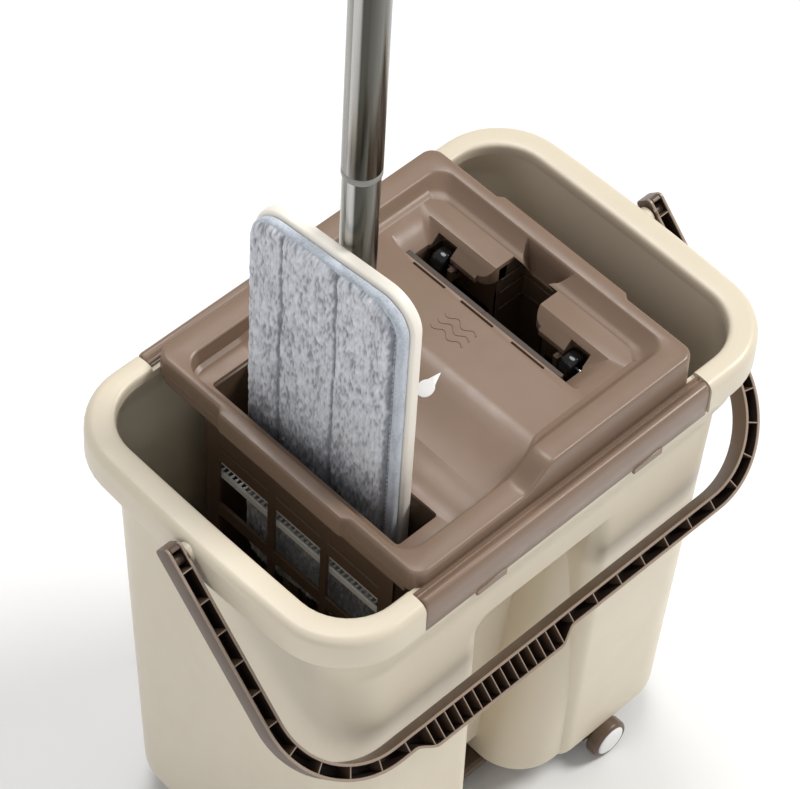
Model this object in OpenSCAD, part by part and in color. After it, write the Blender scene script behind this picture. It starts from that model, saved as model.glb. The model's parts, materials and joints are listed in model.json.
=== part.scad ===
// Flat mop standing in the wash slot of a two-chamber bucket.
// The origin is the middle of the bucket's footprint, on the floor. X runs from
// the wash end to the dry end, the carry handle hangs on the -Y side, Z is up.

/* [Bucket] */
// Height of the rim above the floor
rim_h = 400; // [380:1:420]
// Length over the rim
rim_len = 388; // [384:1:394]
// Width over the rim
rim_w = 254; // [252:1:258]
// Depth of the rim's turned-down skirt
rim_skirt = 26; // [20:1:30]
// Length of the body just under the rim
body_len = 342; // [338:1:344]
// Width of the body just under the rim
body_w = 226; // [224:1:228]
// How much each side of the body draws in from rim to base
draft_in = 9; // [6:1:12]
// Height of the tubs' underside above the floor
base_h = 24; // [22:1:26]
// Wall thickness of the bucket
wall = 2.4; // [2.2:0.1:2.8]
// Height of the arch between the two tubs
arch_h = 308; // [300:1:316]
// Half the width of the arch under its top
arch_half = 50; // [46:1:54]

/* [Insert] */
// Length of the cover along the bucket
cover_len = 240; // [236:1:242]
// Centre of the cover along the bucket
cover_x = -2; // [-3:0.5:-1]
// Height of the frame above the rim at the wash end
wash_rise = 9.6; // [9:0.2:11]
// Height of the frame above the rim at the dry end
dry_rise = 24; // [22:0.5:26]
// Height of the dry plateau above the rim
plateau_rise = 15; // [13:0.5:17]
// Wall thickness of the cover and its wells
shell = 2.6; // [2.4:0.1:3]

/* [Mop] */
// Length of the mop plate
plate_len = 330; // [320:1:334]
// Width of the mop plate
plate_w = 122; // [118:1:124]
// Thickness of the mop plate
plate_t = 8.5; // [8:0.5:9]
// Thickness of the whole pad
pad_t = 9; // [8:0.5:9.5]
// Diameter of the lower pole tube
tube_d = 22; // [20:0.5:22]
// Length of the pole from the hub to its cap
pole_len = 1180; // [1000:10:1250]
// Turn of the mop about its pole, as it stands in the slot
mop_yaw = 4; // [0:0.5:4]

/* [Handle] */
// Angle of the handle below the horizontal, at rest
handle_drop = 46; // [45:0.5:46.5]
// Distance from the pivots to the middle of the bar
handle_reach = 179; // [177:1:180]
// Width of the handle's section, across its plane
handle_w = 16; // [14:1:17]
// Depth of the handle's section, in its plane
handle_d = 11; // [10:0.5:12]

/* [Hidden] */
$fn = 48;
e = 0.01;
bucket_brown = "#6f5a4c";
handle_brown = "#4d372b";
cream = "#d9d1bd";

// Bucket
end_x = body_len / 2;
side_y = body_w / 2;
skirt_z = rim_h - rim_skirt;
rim_bow = 5;
body_r = 36;
rim_r = 48;
flare = 20;
web_half = 58;
web_z = 44;
wheel_x = 94;
wheel_r = 15;
wheel_w = 11;
wheel_y = 101;
wheel_arch_r = 19;
axle_d = 5;
step_y = 3.5;
foot_x = -118;
foot_y = 66;
foot_r = 12;

// Cover
cover_x0 = cover_x - cover_len / 2;
cover_x1 = cover_x + cover_len / 2;
wrap_y = 126;
frame_y = 114;
pool_y = 96;
wash_z = rim_h + wash_rise;
dry_z = rim_h + dry_rise;
plateau_z = rim_h + plateau_rise;
lip_x = cover_x0 + 9;
step_x0 = -30;
step_x1 = -8;
deck_x = 2;
end_band = 15;
bump = 4;
bump_half = 54;
slot_x0 = -103;
slot_x1 = -68;
slot_y = 80;
pole_notch_x = -36;
pole_notch_y = 21;
dry_x0 = 48;
dry_x1 = 68;
dry_y = 67;
dry_notch_x = 104;
dry_notch_y = 19;
hopper_x = 79;
hopper_y = 82;
well_foot = 44;
well_top = rim_h - 6 - shell;
dry_well_x1 = 80;
shaft_x0 = 55.6;
dry_well_foot = 70;
dry_well_top = rim_h + 2;
roller_r = 8.5;
roller_w = 10;
roller_x = 69;
roller_y = 56;
roller_z = rim_h - 3;
roller_pin_d = 3;

// Mop
pole_x = -64;
hub_z = rim_h + 7;
back_x = -12;
front_x = back_x - plate_t;
pad_x = front_x - pad_t;
pad_w = plate_w - 4;
pad_len = plate_len - 4;
pin_d = 6;
lug_r = 8;
socket_z0 = 19;
tube_z0 = 34;
tube_z1 = 222;
sleeve_z1 = 640;
upper_z1 = pole_len - 24;
grip_z0 = 940;

// Handle
pivot_z = rim_h - 10;
arm_x = 202.8;
corner_r = 62;
grip_x0 = -117;
grip_x1 = -4;
grip_d = 18;
grip_out = 5;
pivot_d = 8;

// ---------- Shared shapes ----------

// Points of a quarter circle of radius r about [cx, cy], from angle a to a + 90
function corner(cx, cy, r, a) = [for (k = [0 : 6]) [cx + r * cos(a + 15 * k), cy + r * sin(a + 15 * k)]];

// A level ring: a rectangle with corner radius ra at its low-X end and rb at its
// high-X end, whose ends bow out by bow in the middle
function ring(x0, x1, yh, ra, rb, z, bow = 0) =
    [for (p = concat(corner(x1 - rb, yh - rb, rb, 0), corner(x0 + ra, yh - ra, ra, 90),
            corner(x0 + ra, ra - yh, ra, 180), corner(x1 - rb, rb - yh, rb, 270)))
        let (mid = (x0 + x1) / 2, across = (p[0] - mid) / (x1 - x0) * 2)
        [p[0] + across * bow * (1 - pow(p[1] / yh, 2)), p[1], z]];

// A closed solid through a stack of rings
module loft(rings) {
    n = len(rings[0]);
    m = len(rings);
    sides = [for (j = [0 : m - 2], i = [0 : n - 1])
        [j * n + i, (j + 1) * n + i, (j + 1) * n + (i + 1) % n, j * n + (i + 1) % n]];
    polyhedron(points = [for (r = rings, p = r) p],
        faces = concat([[for (i = [0 : n - 1]) i]], sides,
            [[for (i = [n - 1 : -1 : 0]) (m - 1) * n + i]]), convexity = 6);
}

// A flat plate with rounded corners, centred, its face in the XY plane
module rounded_plate(length, width, r, t) {
    for (s = [-1, 1]) {
        for (q = [-1, 1]) {
            translate([s * (length / 2 - r), q * (width / 2 - r), 0]) cylinder(r = r, h = t);
        }
    }
    translate([-length / 2 + r, -width / 2, 0]) cube([length - 2 * r, width, t]);
    translate([-length / 2, -width / 2 + r, 0]) cube([length, width - 2 * r, t]);
}

// The same plate standing up: its length along Z, its width along Y, from x0 towards -X
module standing_plate(length, width, r, t, x0) {
    translate([x0, 0, 0]) rotate([0, -90, 0]) rounded_plate(length, width, r, t);
}

// A box between two corners
module box(low, high) {
    translate(low) cube(high - low);
}

// A bar along X between x0 and x1
module bar_x(x0, x1, d, y, z) {
    translate([x0, y, z]) rotate([0, 90, 0]) cylinder(d = d, h = x1 - x0);
}

// A bar along Y between y0 and y1
module bar_y(y0, y1, d, x, z) {
    translate([x, y0, z]) rotate([-90, 0, 0]) cylinder(d = d, h = y1 - y0);
}

// An XZ outline made solid from y0 to y1
module slab_y(points, y0, y1) {
    translate([0, y1, 0]) rotate([90, 0, 0]) linear_extrude(height = y1 - y0) polygon(points);
}

// ---------- Bucket ----------

// Half sizes of the body at height z. The long sides flare out to meet the rim.
function draft(z) = draft_in * (skirt_z - z) / (skirt_z - base_h);
function body_end(z) = end_x - draft(z);
function flared(z) = z < skirt_z - 46 ? 0 : min(1, (z - skirt_z + 46) / 46);
function body_side(z, flare = 11.8) = side_y - draft(z) + flare * pow(flared(z), 2) * (3 - 2 * flared(z));
flare_z = [for (dz = [46 : -10 : 6]) skirt_z - dz];

// How far the arch's sides stand off the middle at height z, from low at the base
// to the arch's half width, closing in a quarter circle under its top
function arch_side(low, z) = z < arch_h - flare
    ? low + (arch_half - low) * (z - base_h) / (arch_h - flare - base_h)
    : arch_half - flare + sqrt(max(0, pow(flare, 2) - pow(z - arch_h + flare, 2)));

// Heights of the tub's rings, with how far each is drawn in by the rounded foot
foot_round = 8;
foot_rings = [for (a = [0 : 30 : 90]) [base_h + foot_round * (1 - cos(a)), foot_round * (1 - sin(a))]];
arch_rings = [for (a = [0 : 22.5 : 90]) [arch_h - flare + flare * sin(a), 0]];

function wash_ring(z, in) = ring(-body_end(z) + in, -arch_side(37, z) - in, side_y - draft(z) - in,
    body_r - in, 14 - in / 2, z);
function dry_ring(z, in) = ring(arch_side(11, z) + in, body_end(z) - 1.2 - in,
    side_y - draft(z) - step_y - in,
    34 - in, body_r - in, z);
function panel_ring(z, in) = ring(51, body_end(z) - in, side_y - draft(z) - in, 10, body_r - in, z);

module wash_tub(in, lift) {
    loft(concat([for (f = foot_rings) wash_ring(f[0] + lift, in + f[1])],
        [for (a = arch_rings) wash_ring(a[0], in)], in > 0 ? [wash_ring(arch_h + in, in)] : []));
}

module dry_tub(in, lift) {
    loft(concat([for (f = foot_rings) dry_ring(f[0] + lift, in + f[1])],
        [for (a = arch_rings) dry_ring(a[0], in)], in > 0 ? [dry_ring(arch_h + in, in)] : []));
}

// The dry tub's wide panel, which stands a step proud of its rounded corner
module dry_panel() {
    loft(concat([for (f = foot_rings) panel_ring(f[0], f[1])], [panel_ring(arch_h, 0)]));
}

module collar(in, z0) {
    loft([for (z = concat([z0], flare_z, [rim_h - 2]))
        ring(-body_end(z) + in, body_end(z) - in, body_side(z) - in, body_r - in, body_r - in, z)]);
}

// The bucket's inside between the arch and the rim, and the rim's opening
module throat() {
    loft([for (z = concat([arch_h + wall], flare_z, [rim_h - 6]))
        ring(wall - body_end(z), body_end(z) - wall, body_side(z, 9.5) - wall,
            body_r - wall, body_r - wall, z)]);
    loft([for (z = [rim_h - 8, rim_h + 3])
        ring(-end_x, end_x, side_y - wall, body_r - 1, body_r - 1, z)]);
}

module rim_solid(in, z0, z1, round) {
    tops = [for (a = [0 : 22.5 : 90]) [z1 - round + round * sin(a), round * (1 - cos(a))]];
    loft([for (f = concat([[z0, 0]], tops))
        ring(-rim_len / 2 + rim_bow + in + f[1], rim_len / 2 - rim_bow - in - f[1], rim_w / 2 - in - f[1],
            rim_r - in - f[1], rim_r - in - f[1], f[0], rim_bow)]);
}

// A round recess over each wheel
module wheel_arches(r, y) {
    for (s = [-1, 1]) {
        bar_y(s > 0 ? y : -130, s > 0 ? 130 : -y, 2 * r, wheel_x, wheel_r);
    }
}

module bucket_shell() {
    color(cream) difference() {
        union() {
            wash_tub(0, 0);
            dry_tub(0, 0);
            dry_panel();
            collar(0, arch_h);
            // hollow web between the tubs, open underneath
            difference() {
                box([-60, -web_half, web_z], [60, web_half, arch_h + 1]);
                box([-61, wall - web_half, web_z - 1], [61, web_half - wall, arch_h]);
            }
            difference() {
                rim_solid(0, skirt_z, rim_h, 8);
                rim_solid(wall, skirt_z - 1, rim_h - 3, 6);
            }
            // bosses behind the handle's ends
            for (s = [-1, 1]) {
                bar_x(s > 0 ? 186 : -196.4, s > 0 ? 196.4 : -186, 18, 0, pivot_z);
            }
        }
        difference() {
            dry_tub(wall, wall);
            wheel_arches(wheel_arch_r + wall, 98 - wall);
        }
        wash_tub(wall, wall);
        throat();
        // the long walls stop lower under the cover, and are set in behind its wrap
        box([cover_x0 - 0.6, -130, rim_h - 3], [cover_x1 + 0.6, 130, rim_h + 2]);
        for (s = [-1, 1]) {
            box([cover_x0 - 0.6, s > 0 ? wrap_y - 2.7 : -140, skirt_z - 5.6],
                [cover_x1 + 0.6, s > 0 ? 140 : 2.7 - wrap_y, rim_h + 2]);
            bar_x(s > 0 ? 180 : -200, s > 0 ? 200 : -180, pivot_d, 0, pivot_z);
        }
        wheel_arches(wheel_arch_r, 98);
    }
}

module base_brace() {
    color(bucket_brown) difference() {
        union() {
            box([-96, -66, 14], [122, 66, base_h]);
            box([80, -97.6, 8], [108, 97.6, base_h]);
        }
        bar_y(-110, 110, axle_d, wheel_x, wheel_r);
    }
}

module rest_feet() {
    color("#2b2b2b") for (s = [-1, 1]) {
        translate([foot_x, s * foot_y, 0]) cylinder(r = foot_r, h = base_h);
    }
}

// Wheels are drawn on the far side and mirrored to the near side
module on_side(s) {
    if (s > 0) {
        children();
    } else {
        mirror([0, 1, 0]) children();
    }
}

module wheel(s) {
    color(handle_brown) on_side(s) difference() {
        bar_y(wheel_y, wheel_y + wheel_w, 2 * wheel_r, wheel_x, wheel_r);
        bar_y(wheel_y - 1, wheel_y + wheel_w + 1, axle_d + 0.1, wheel_x, wheel_r);
        bar_y(wheel_y + wheel_w - 4, wheel_y + wheel_w + 1, 2 * wheel_r - 6, wheel_x, wheel_r);
    }
}

// Domed cap pressed into the wheel's outer face
module wheel_cap(s) {
    color("whitesmoke") on_side(s) translate([wheel_x, wheel_y + wheel_w - 1.8, wheel_r]) rotate([-90, 0, 0])
        rotate_extrude() intersection() {
            translate([0, 0]) square([wheel_r - 3, 4]);
            translate([0, -22]) circle(r = 25.2, $fn = 96);
        }
}

module wheel_axle(s) {
    color("silver") on_side(s) {
        bar_y(70, wheel_y + wheel_w - 3.2, axle_d, wheel_x, wheel_r);
        bar_y(wheel_y + wheel_w - 3.6, wheel_y + wheel_w - 2.2, 9, wheel_x, wheel_r);
    }
}

// ---------- Carry handle ----------

// The handle is drawn in its own plane, X along the bucket, Y towards the bar and Z
// out of the plane, and is then tipped about the line through its pivots.
module in_handle_plane() {
    translate([0, 0, pivot_z]) rotate([-handle_drop, 0, 180]) mirror([1, 0, 0]) children();
}

// Section of the bar: a tray whose pockets open to +Z of the handle's plane
module tray(length, depth) {
    difference() {
        translate([0, -depth / 2, -handle_w / 2]) cube([length, depth, handle_w]);
        translate([-e, 1.8 - depth / 2, 2 - handle_w / 2]) cube([length + 2 * e, depth - 3.6, handle_w]);
    }
}

// A rib across the tray at x
module rib(x, y, depth) {
    translate([x, y - depth / 2 + 0.9, 1 - handle_w / 2]) cube([1.4, depth - 1.8, handle_w - 1.6]);
}

module arm(s) {
    difference() {
        union() {
            translate([s * arm_x, 0, 0]) rotate([0, 0, 90]) tray(handle_reach - corner_r, handle_d);
            translate([s * arm_x - handle_d / 2, 0, 0]) rotate([0, 90, 0]) cylinder(r = 13, h = handle_d);
            for (k = [1 : 5]) {
                translate([s * arm_x - handle_d / 2 + 0.9, 10 + 19 * k, 1 - handle_w / 2])
                    cube([handle_d - 1.8, 1.4, handle_w - 1.6]);
            }
        }
        translate([s * arm_x - 20, 0, 0]) rotate([0, 90, 0]) cylinder(d = pivot_d + 0.12, h = 40);
    }
}

// One bend, from the arm round to the bar
module bend(s) {
    mirror([s < 0 ? 1 : 0, 0, 0]) translate([arm_x - corner_r, handle_reach - corner_r, 0]) {
        rotate_extrude(angle = 90) translate([corner_r, 0]) difference() {
            translate([-handle_d / 2, -handle_w / 2]) square([handle_d, handle_w]);
            translate([1.8 - handle_d / 2, 2 - handle_w / 2]) square([handle_d - 3.6, handle_w]);
        }
        for (a = [10 : 20 : 80]) {
            rotate([0, 0, a]) translate([corner_r - handle_d / 2 + 0.9, -0.7, 1 - handle_w / 2])
                cube([handle_d - 1.8, 1.4, handle_w - 1.6]);
        }
    }
}

module carry_handle() {
    bar_x1 = arm_x - corner_r;
    color(handle_brown) in_handle_plane() {
        for (s = [-1, 1]) {
            arm(s);
            bend(s);
        }
        translate([-bar_x1, handle_reach, 0]) tray(grip_x0 + 1 + bar_x1, handle_d);
        translate([grip_x1 - 1, handle_reach, 0]) tray(bar_x1 + 1 - grip_x1, handle_d);
        for (x = [-bar_x1 : 12 : grip_x0]) {
            rib(x, handle_reach, handle_d);
        }
        for (x = [grip_x1 + 14 : 21 : bar_x1]) {
            rib(x, handle_reach, handle_d);
        }
        // the thick ribbed hand hold, set outwards from the bar
        translate([grip_x0, handle_reach + grip_out, 0]) tray(grip_x1 - grip_x0, grip_d);
        for (x = [grip_x0 : 8 : grip_x1 - 6]) {
            rib(x, handle_reach + grip_out, grip_d);
        }
        rib(grip_x1 - 1.4, handle_reach + grip_out, grip_d);
    }
}

// Pin with a head that keeps the handle's eye on the boss
module handle_pin(s) {
    color(handle_brown) mirror([s < 0 ? 1 : 0, 0, 0]) {
        bar_x(187, 209, pivot_d, 0, pivot_z);
        bar_x(208.7, 210.3, 13, 0, pivot_z);
    }
}

// ---------- Cover over the rim ----------

// Height of the frame's crest along X: low over the wash end, high over the dry end
crest = concat([[cover_x0 + 3, wash_z], [step_x0, wash_z]],
    [for (t = [0.2 : 0.2 : 0.8]) [step_x0 + (step_x1 - step_x0) * t,
        wash_z + (dry_z - wash_z) * (1 - cos(180 * t)) / 2]],
    [[step_x1, dry_z], [cover_x1 - 3, dry_z]]);

// The deck inside the frame: the trough at the slot, the hollow ramp and the plateau
deck = concat([[lip_x, rim_h - 6], [slot_x1, rim_h - 6]],
    [for (t = [0 : 0.2 : 1]) [-60 + (deck_x + 60) * t, rim_h - 3 + (plateau_rise + 3) * pow(t, 1.4)]],
    [[cover_x1 - end_band, plateau_z]]);

function lowered(points, dz) = [for (i = [len(points) - 1 : -1 : 0]) [points[i][0], points[i][1] - dz]];
function down_to(points, z) = [[points[len(points) - 1][0], z], [points[0][0], z]];

module frame_side(s) {
    y0 = s > 0 ? pool_y - 1 : -frame_y;
    y1 = s > 0 ? frame_y : 1 - pool_y;
    slab_y(concat(crest, lowered(crest, shell)), y0, y1);
    slab_y(concat(crest, down_to(crest, rim_h - 2.4)), s > 0 ? frame_y - shell : -frame_y,
        s > 0 ? frame_y : shell - frame_y);
    slab_y(concat(crest, down_to(crest, rim_h - 9)), s > 0 ? pool_y - 1 : -pool_y - 1.6,
        s > 0 ? pool_y + 1.6 : 1 - pool_y);
    // the wrap over the bucket's long wall, and its two tabs
    box([cover_x0, s > 0 ? frame_y - shell : -wrap_y, rim_h - 2.4],
        [cover_x1, s > 0 ? wrap_y : shell - frame_y, rim_h]);
    box([cover_x0, s > 0 ? wrap_y - 2.2 : -wrap_y, skirt_z],
        [cover_x1, s > 0 ? wrap_y : 2.2 - wrap_y, rim_h]);
    for (x = [-79, 54]) {
        box([x, s > 0 ? wrap_y - 2.2 : -wrap_y - 0.4, skirt_z - 5],
            [x + 25, s > 0 ? wrap_y + 0.4 : 2.2 - wrap_y, skirt_z + 4]);
    }
}

// The ends of the frame, which drop inside the bucket, with a proud middle
module frame_ends() {
    box([cover_x0 + 3, -frame_y, wash_z - shell], [lip_x + 1, frame_y, wash_z]);
    box([cover_x0 + 3, -105, rim_h - 12], [cover_x0 + 3 + shell, 105, wash_z]);
    box([cover_x0 + 3 - bump, -bump_half, rim_h - 10], [lip_x, bump_half, wash_z]);
    box([lip_x - shell + 1, -pool_y, rim_h - 9], [lip_x + 1, pool_y, wash_z]);
    box([cover_x1 - end_band, -frame_y, dry_z - shell], [cover_x1 - 3, frame_y, dry_z]);
    box([cover_x1 - 3 - shell, -105, rim_h - 30], [cover_x1 - 3, 105, dry_z]);
    box([cover_x1 - 4, -bump_half, rim_h - 10], [cover_x1 + 0.5, bump_half, dry_z]);
    // sloped wall from the band down to the plateau
    slab_y([[cover_x1 - end_band, dry_z], [cover_x1 - end_band - 6, plateau_z],
        [cover_x1 - end_band - 6, plateau_z - shell], [cover_x1 - end_band + 2, plateau_z - shell],
        [cover_x1 - end_band + 2, dry_z]], -pool_y, pool_y);
}

// Funnel round the dry slot, sloping in from three sides
module hopper_rim(in, dz) {
    loft([ring(dry_x0 - 3 - in, dry_x1 + in, dry_y + in, 3, 3, dry_well_top - dz),
        ring(dry_x0 - 3 - in, hopper_x + in, hopper_y + in, 3, 3, plateau_z + dz)]);
}

module insert_frame() {
    color(bucket_brown) difference() {
        union() {
            for (s = [-1, 1]) {
                frame_side(s);
            }
            frame_ends();
            slab_y(concat(deck, lowered(deck, shell)), -pool_y, pool_y);
            hopper_rim(2, 0);
        }
        // slot for the mop and notch for its pole
        box([slot_x0, -slot_y, rim_h - 20], [slot_x1, slot_y, rim_h + 9]);
        box([slot_x1 - 1, -pole_notch_y, rim_h - 20], [pole_notch_x, pole_notch_y, rim_h + 30]);
        // dry slot with its funnel and its pole notch
        hopper_rim(0, e);
        box([dry_x0, -dry_y, rim_h - 20], [dry_x1, dry_y, rim_h + 30]);
        box([dry_x1 - 1, -dry_notch_y, rim_h - 20], [dry_notch_x - 6, dry_notch_y, rim_h + 30]);
        translate([dry_notch_x - 15, 0, rim_h - 20]) cylinder(r = 15, h = 34);
        // slits for the scraper's clips
        for (y = [-42, 1.5, 43]) {
            box([41.4, y - 14, plateau_z - 6], [44.4, y + 14, plateau_z + 2]);
        }
        // bays for the rollers
        for (s = [-1, 1]) {
            box([57, s > 0 ? roller_y - 6 : -roller_y - 6, rim_h - 20],
                [dry_well_x1 + 2, s > 0 ? roller_y + 6 : 6 - roller_y, rim_h + 7]);
        }
        for (p = well_screw_at) {
            translate([p[0], p[1], rim_h - 20]) cylinder(d = 3, h = 12.7);
        }
    }
}

// ---------- Wells, brushes, blade and rollers under the cover ----------

// A shaft of open rungs round a slot
module well(x0, x1, yh, z0, z1, flange) {
    difference() {
        union() {
            box([x0 - shell, -yh - shell, z0], [x1 + shell, yh + shell, z1]);
            box([x0 - flange, -yh - flange, z1 - 3], [x1 + flange, yh + flange, z1]);
        }
        box([x0, -yh, z0 + shell], [x1, yh, z1 + 1]);
        for (z = [z0 + 20 : 56 : z1 - 60]) {
            for (y = [-yh + 12 : (2 * yh - 24 + 8) / 3 : yh - 20]) {
                box([x0 - 5, y, z], [x1 + 5, y + (2 * yh - 24 + 8) / 3 - 8, z + 44]);
            }
        }
    }
}

well_screw_at = [[slot_x0 - 5, -85], [slot_x0 - 5, 85], [slot_x1 + 5, -85], [slot_x1 + 5, 85]];

module wash_well() {
    color(handle_brown) difference() {
        union() {
            well(slot_x0, slot_x1, slot_y, well_foot, well_top, 9);
            box([slot_x1, -pole_notch_y - shell, arch_h + 6],
                [pole_notch_x + shell, pole_notch_y + shell, well_top]);
        }
        box([slot_x1 - 4, -pole_notch_y, arch_h + 5], [pole_notch_x, pole_notch_y, rim_h]);
        // way down for the pole's foot
        box([slot_x1 - 4, -pole_notch_y, arch_h - 110], [slot_x1 + shell + 1, pole_notch_y, arch_h + 7]);
        for (p = well_screw_at) {
            translate([p[0], p[1], well_top - 10]) cylinder(d = 3, h = 20);
        }
    }
}

module dry_well() {
    color(handle_brown) {
        difference() {
            union() {
                well(shaft_x0, dry_well_x1, dry_y, dry_well_foot, dry_well_top, 6);
                box([dry_x0 - shell, -dry_y - shell, arch_h + 6],
                    [dry_well_x1, dry_y + shell, dry_well_top]);
                box([dry_well_x1 + 2, -dry_notch_y - shell, rim_h - 150],
                    [dry_notch_x + shell, dry_notch_y + shell, plateau_z - shell]);
            }
            box([shaft_x0, -dry_y, dry_well_foot + shell], [dry_well_x1, dry_y, dry_well_top + 1]);
            box([dry_x0, -dry_y, arch_h + 6 + shell], [dry_well_x1, dry_y, dry_well_top + 1]);
            box([dry_well_x1 - 1, -dry_notch_y, rim_h - 160], [dry_notch_x, dry_notch_y, rim_h + 20]);
            for (s = [-1, 1]) {
                bar_y(s > 0 ? 40 : -76, s > 0 ? 76 : -40, roller_pin_d, roller_x, roller_z);
            }
        }
        // cheeks that carry the rollers' pins
        for (s = [-1, 1]) {
            difference() {
                box([roller_x - 5, s > 0 ? 44 : -48, roller_z - 8],
                    [dry_well_x1 + 0.5, s > 0 ? 48 : -44, dry_well_top - 1]);
                bar_y(-60, 60, roller_pin_d, roller_x, roller_z);
            }
        }
    }
}

module well_screws() {
    color("silver") for (p = well_screw_at) {
        translate([p[0], p[1], well_top - 3]) cylinder(d = 3, h = 4);
        translate([p[0], p[1], well_top - 5.2]) cylinder(d = 6, h = 2.2);
    }
}

// Rows of scrubbing bristles on the well's wall, facing the pad
module wash_brushes() {
    color("#e9e4d8") for (k = [0 : 2]) {
        box([slot_x0, -slot_y + 2, rim_h - 60 - 14 * k], [slot_x0 + 1.6, slot_y - 2, rim_h - 54 - 14 * k]);
        for (y = [-slot_y + 6 : 8 : slot_y - 6]) {
            translate([slot_x0 + 1.5, y, rim_h - 57 - 14 * k]) rotate([0, 90, 0]) cylinder(d = 2.4, h = 1.6);
        }
    }
}

// Squeeze blade: a rail that shows along the slot, and a lip that scrapes the pad
module scraper_blade() {
    color("#3b342f") {
        box([dry_x0 - 2.8, -dry_y + 0.2, dry_well_top], [dry_x0 + 1.4, dry_y - 0.2, plateau_z - 0.6]);
        box([dry_x0, -dry_y + 1, rim_h - 18], [dry_x0 + 1.4, dry_y - 1, dry_well_top + 1]);
        slab_y([[dry_x0 + 1.3, rim_h - 2], [dry_x0 + 5, rim_h - 8], [dry_x0 + 1.3, rim_h - 10]],
            -dry_y + 6, dry_y - 6);
    }
}

module roller(s) {
    color("#151515") on_side(s) difference() {
        bar_y(roller_y - roller_w / 2, roller_y + roller_w / 2, 2 * roller_r, roller_x, roller_z);
        bar_y(roller_y - roller_w, roller_y + roller_w, roller_pin_d + 0.1, roller_x, roller_z);
    }
}

module roller_pin(s) {
    color("silver") on_side(s) bar_y(43, dry_y + 4, roller_pin_d, roller_x, roller_z);
}

// A printed drop on the ramp, as a thin mark that follows the slope
module wash_icon() {
    lifted = [for (p = deck) [p[0], p[1] + 0.5]];
    color("white") intersection() {
        translate([-16, -16, rim_h - 5]) linear_extrude(height = 30) union() {
            circle(r = 6);
            polygon([[2.2, -5.6], [2.2, 5.6], [13, 0]]);
        }
        slab_y(concat(lifted, lowered(deck, 0)), -60, 60);
    }
}

// A moulded mark on the plateau: three wavy lines for moving air
module dry_icon() {
    color(bucket_brown) translate([24, 2, plateau_z]) for (k = [-1 : 1]) {
        for (j = [0 : 2]) {
            translate([6 * k, (j - 1) * 8, 0]) difference() {
                cylinder(r = 4.8, h = 0.6);
                translate([0, 0, -1]) cylinder(r = 3.2, h = 3);
                translate([(j % 2 == 0 ? -6 : 0), -6, -1]) cube([6, 12, 3]);
            }
        }
    }
}

// ---------- Mop ----------

// The mop's own frame: the pole is the Z axis, the hub is the origin, the plate
// stands on the -X side with its width along Y.
module in_mop_frame() {
    translate([pole_x, 0, hub_z]) rotate([0, 0, mop_yaw]) children();
}

module mop_plate() {
    color("#ece5d3") in_mop_frame() difference() {
        union() {
            standing_plate(plate_len, plate_w, 24, plate_t, back_x);
        }
        // hollow back with a rim, ribs and a solid ring under the hub
        difference() {
            standing_plate(plate_len - 8, plate_w - 8, 20, plate_t - 3, back_x + e);
            translate([-30, 0, 0]) rotate([0, 90, 0]) cylinder(r = 26, h = 40);
            for (z = [-120 : 40 : 120]) {
                box([-40, -plate_w, z - 1.2], [0, plate_w, z + 1.2]);
            }
            for (y = [-28, 28]) {
                box([-40, y - 1.2, -plate_len], [0, y + 1.2, plate_len]);
            }
        }
        translate([-30, 0, 0]) rotate([0, 90, 0]) cylinder(d = 8.1, h = 40);
        translate([front_x - 1, 0, 0]) rotate([0, 90, 0]) cylinder(d = 14.4, h = 2.2);
    }
}

// Hook strips that hold the pad on the plate
module grip_strips() {
    color("#777777") in_mop_frame() for (y = [-40, 40]) {
        box([front_x - 0.6, y - 10, -148], [front_x, y + 10, 148]);
    }
}

module pad_backing() {
    color("#c9ced6") in_mop_frame() difference() {
        standing_plate(pad_len, pad_w, 22, 3, front_x);
        for (y = [-40, 40]) {
            box([front_x - 0.7, y - 10.2, -148.2], [front_x + 1, y + 10.2, 148.2]);
        }
    }
}

module pad_pile() {
    color("#8f959f") in_mop_frame() standing_plate(pad_len - 12, pad_w - 12, 16, pad_t - 3, front_x - 3);
}

// Folded tape sewn round the pad's edge
module pad_binding() {
    color("#cdd5e0") in_mop_frame() difference() {
        standing_plate(pad_len, pad_w, 22, 3, front_x - 3);
        standing_plate(pad_len - 12 + e, pad_w - 12 + e, 16, 5, front_x - 2);
    }
}

// Disc on the plate's back that turns about the plate's normal and carries the hinge
module swivel_base() {
    color(handle_brown) in_mop_frame() difference() {
        union() {
            translate([back_x, 0, 0]) rotate([0, 90, 0]) cylinder(r = 18, h = 2.6);
            for (s = [-1, 1]) {
                box([back_x + 1, s > 0 ? 9 : -14, -lug_r], [0, s > 0 ? 14 : -9, lug_r]);
                bar_y(s > 0 ? 9 : -14, s > 0 ? 14 : -9, 2 * lug_r, 0, 0);
            }
            translate([back_x - plate_t + 0.2, 0, 0]) rotate([0, 90, 0]) cylinder(d = 8, h = plate_t);
        }
        bar_y(-20, 20, pin_d + 0.1, 0, 0);
    }
}

// Clip ring that keeps the swivel on the plate
module swivel_ring() {
    color("silver") in_mop_frame() difference() {
        translate([front_x + 0.2, 0, 0]) rotate([0, 90, 0]) cylinder(d = 14, h = 0.9);
        translate([front_x - 1, 0, 0]) rotate([0, 90, 0]) cylinder(d = 8, h = 4);
    }
}

module hinge_pin() {
    color("silver") in_mop_frame() bar_y(-15, 15, pin_d, 0, 0);
}

module pole_yoke() {
    color(handle_brown) in_mop_frame() difference() {
        union() {
            bar_y(-8.6, 8.6, 13, 0, 0);
            box([-6.5, -8.6, 0], [6.5, 8.6, socket_z0 + 2]);
            translate([0, 0, socket_z0]) cylinder(r = 10.9, h = tube_z0 - socket_z0);
            translate([0, 0, socket_z0]) cylinder(d = tube_d - 2.4, h = 60);
        }
        bar_y(-20, 20, pin_d + 0.1, 0, 0);
    }
}

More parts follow.
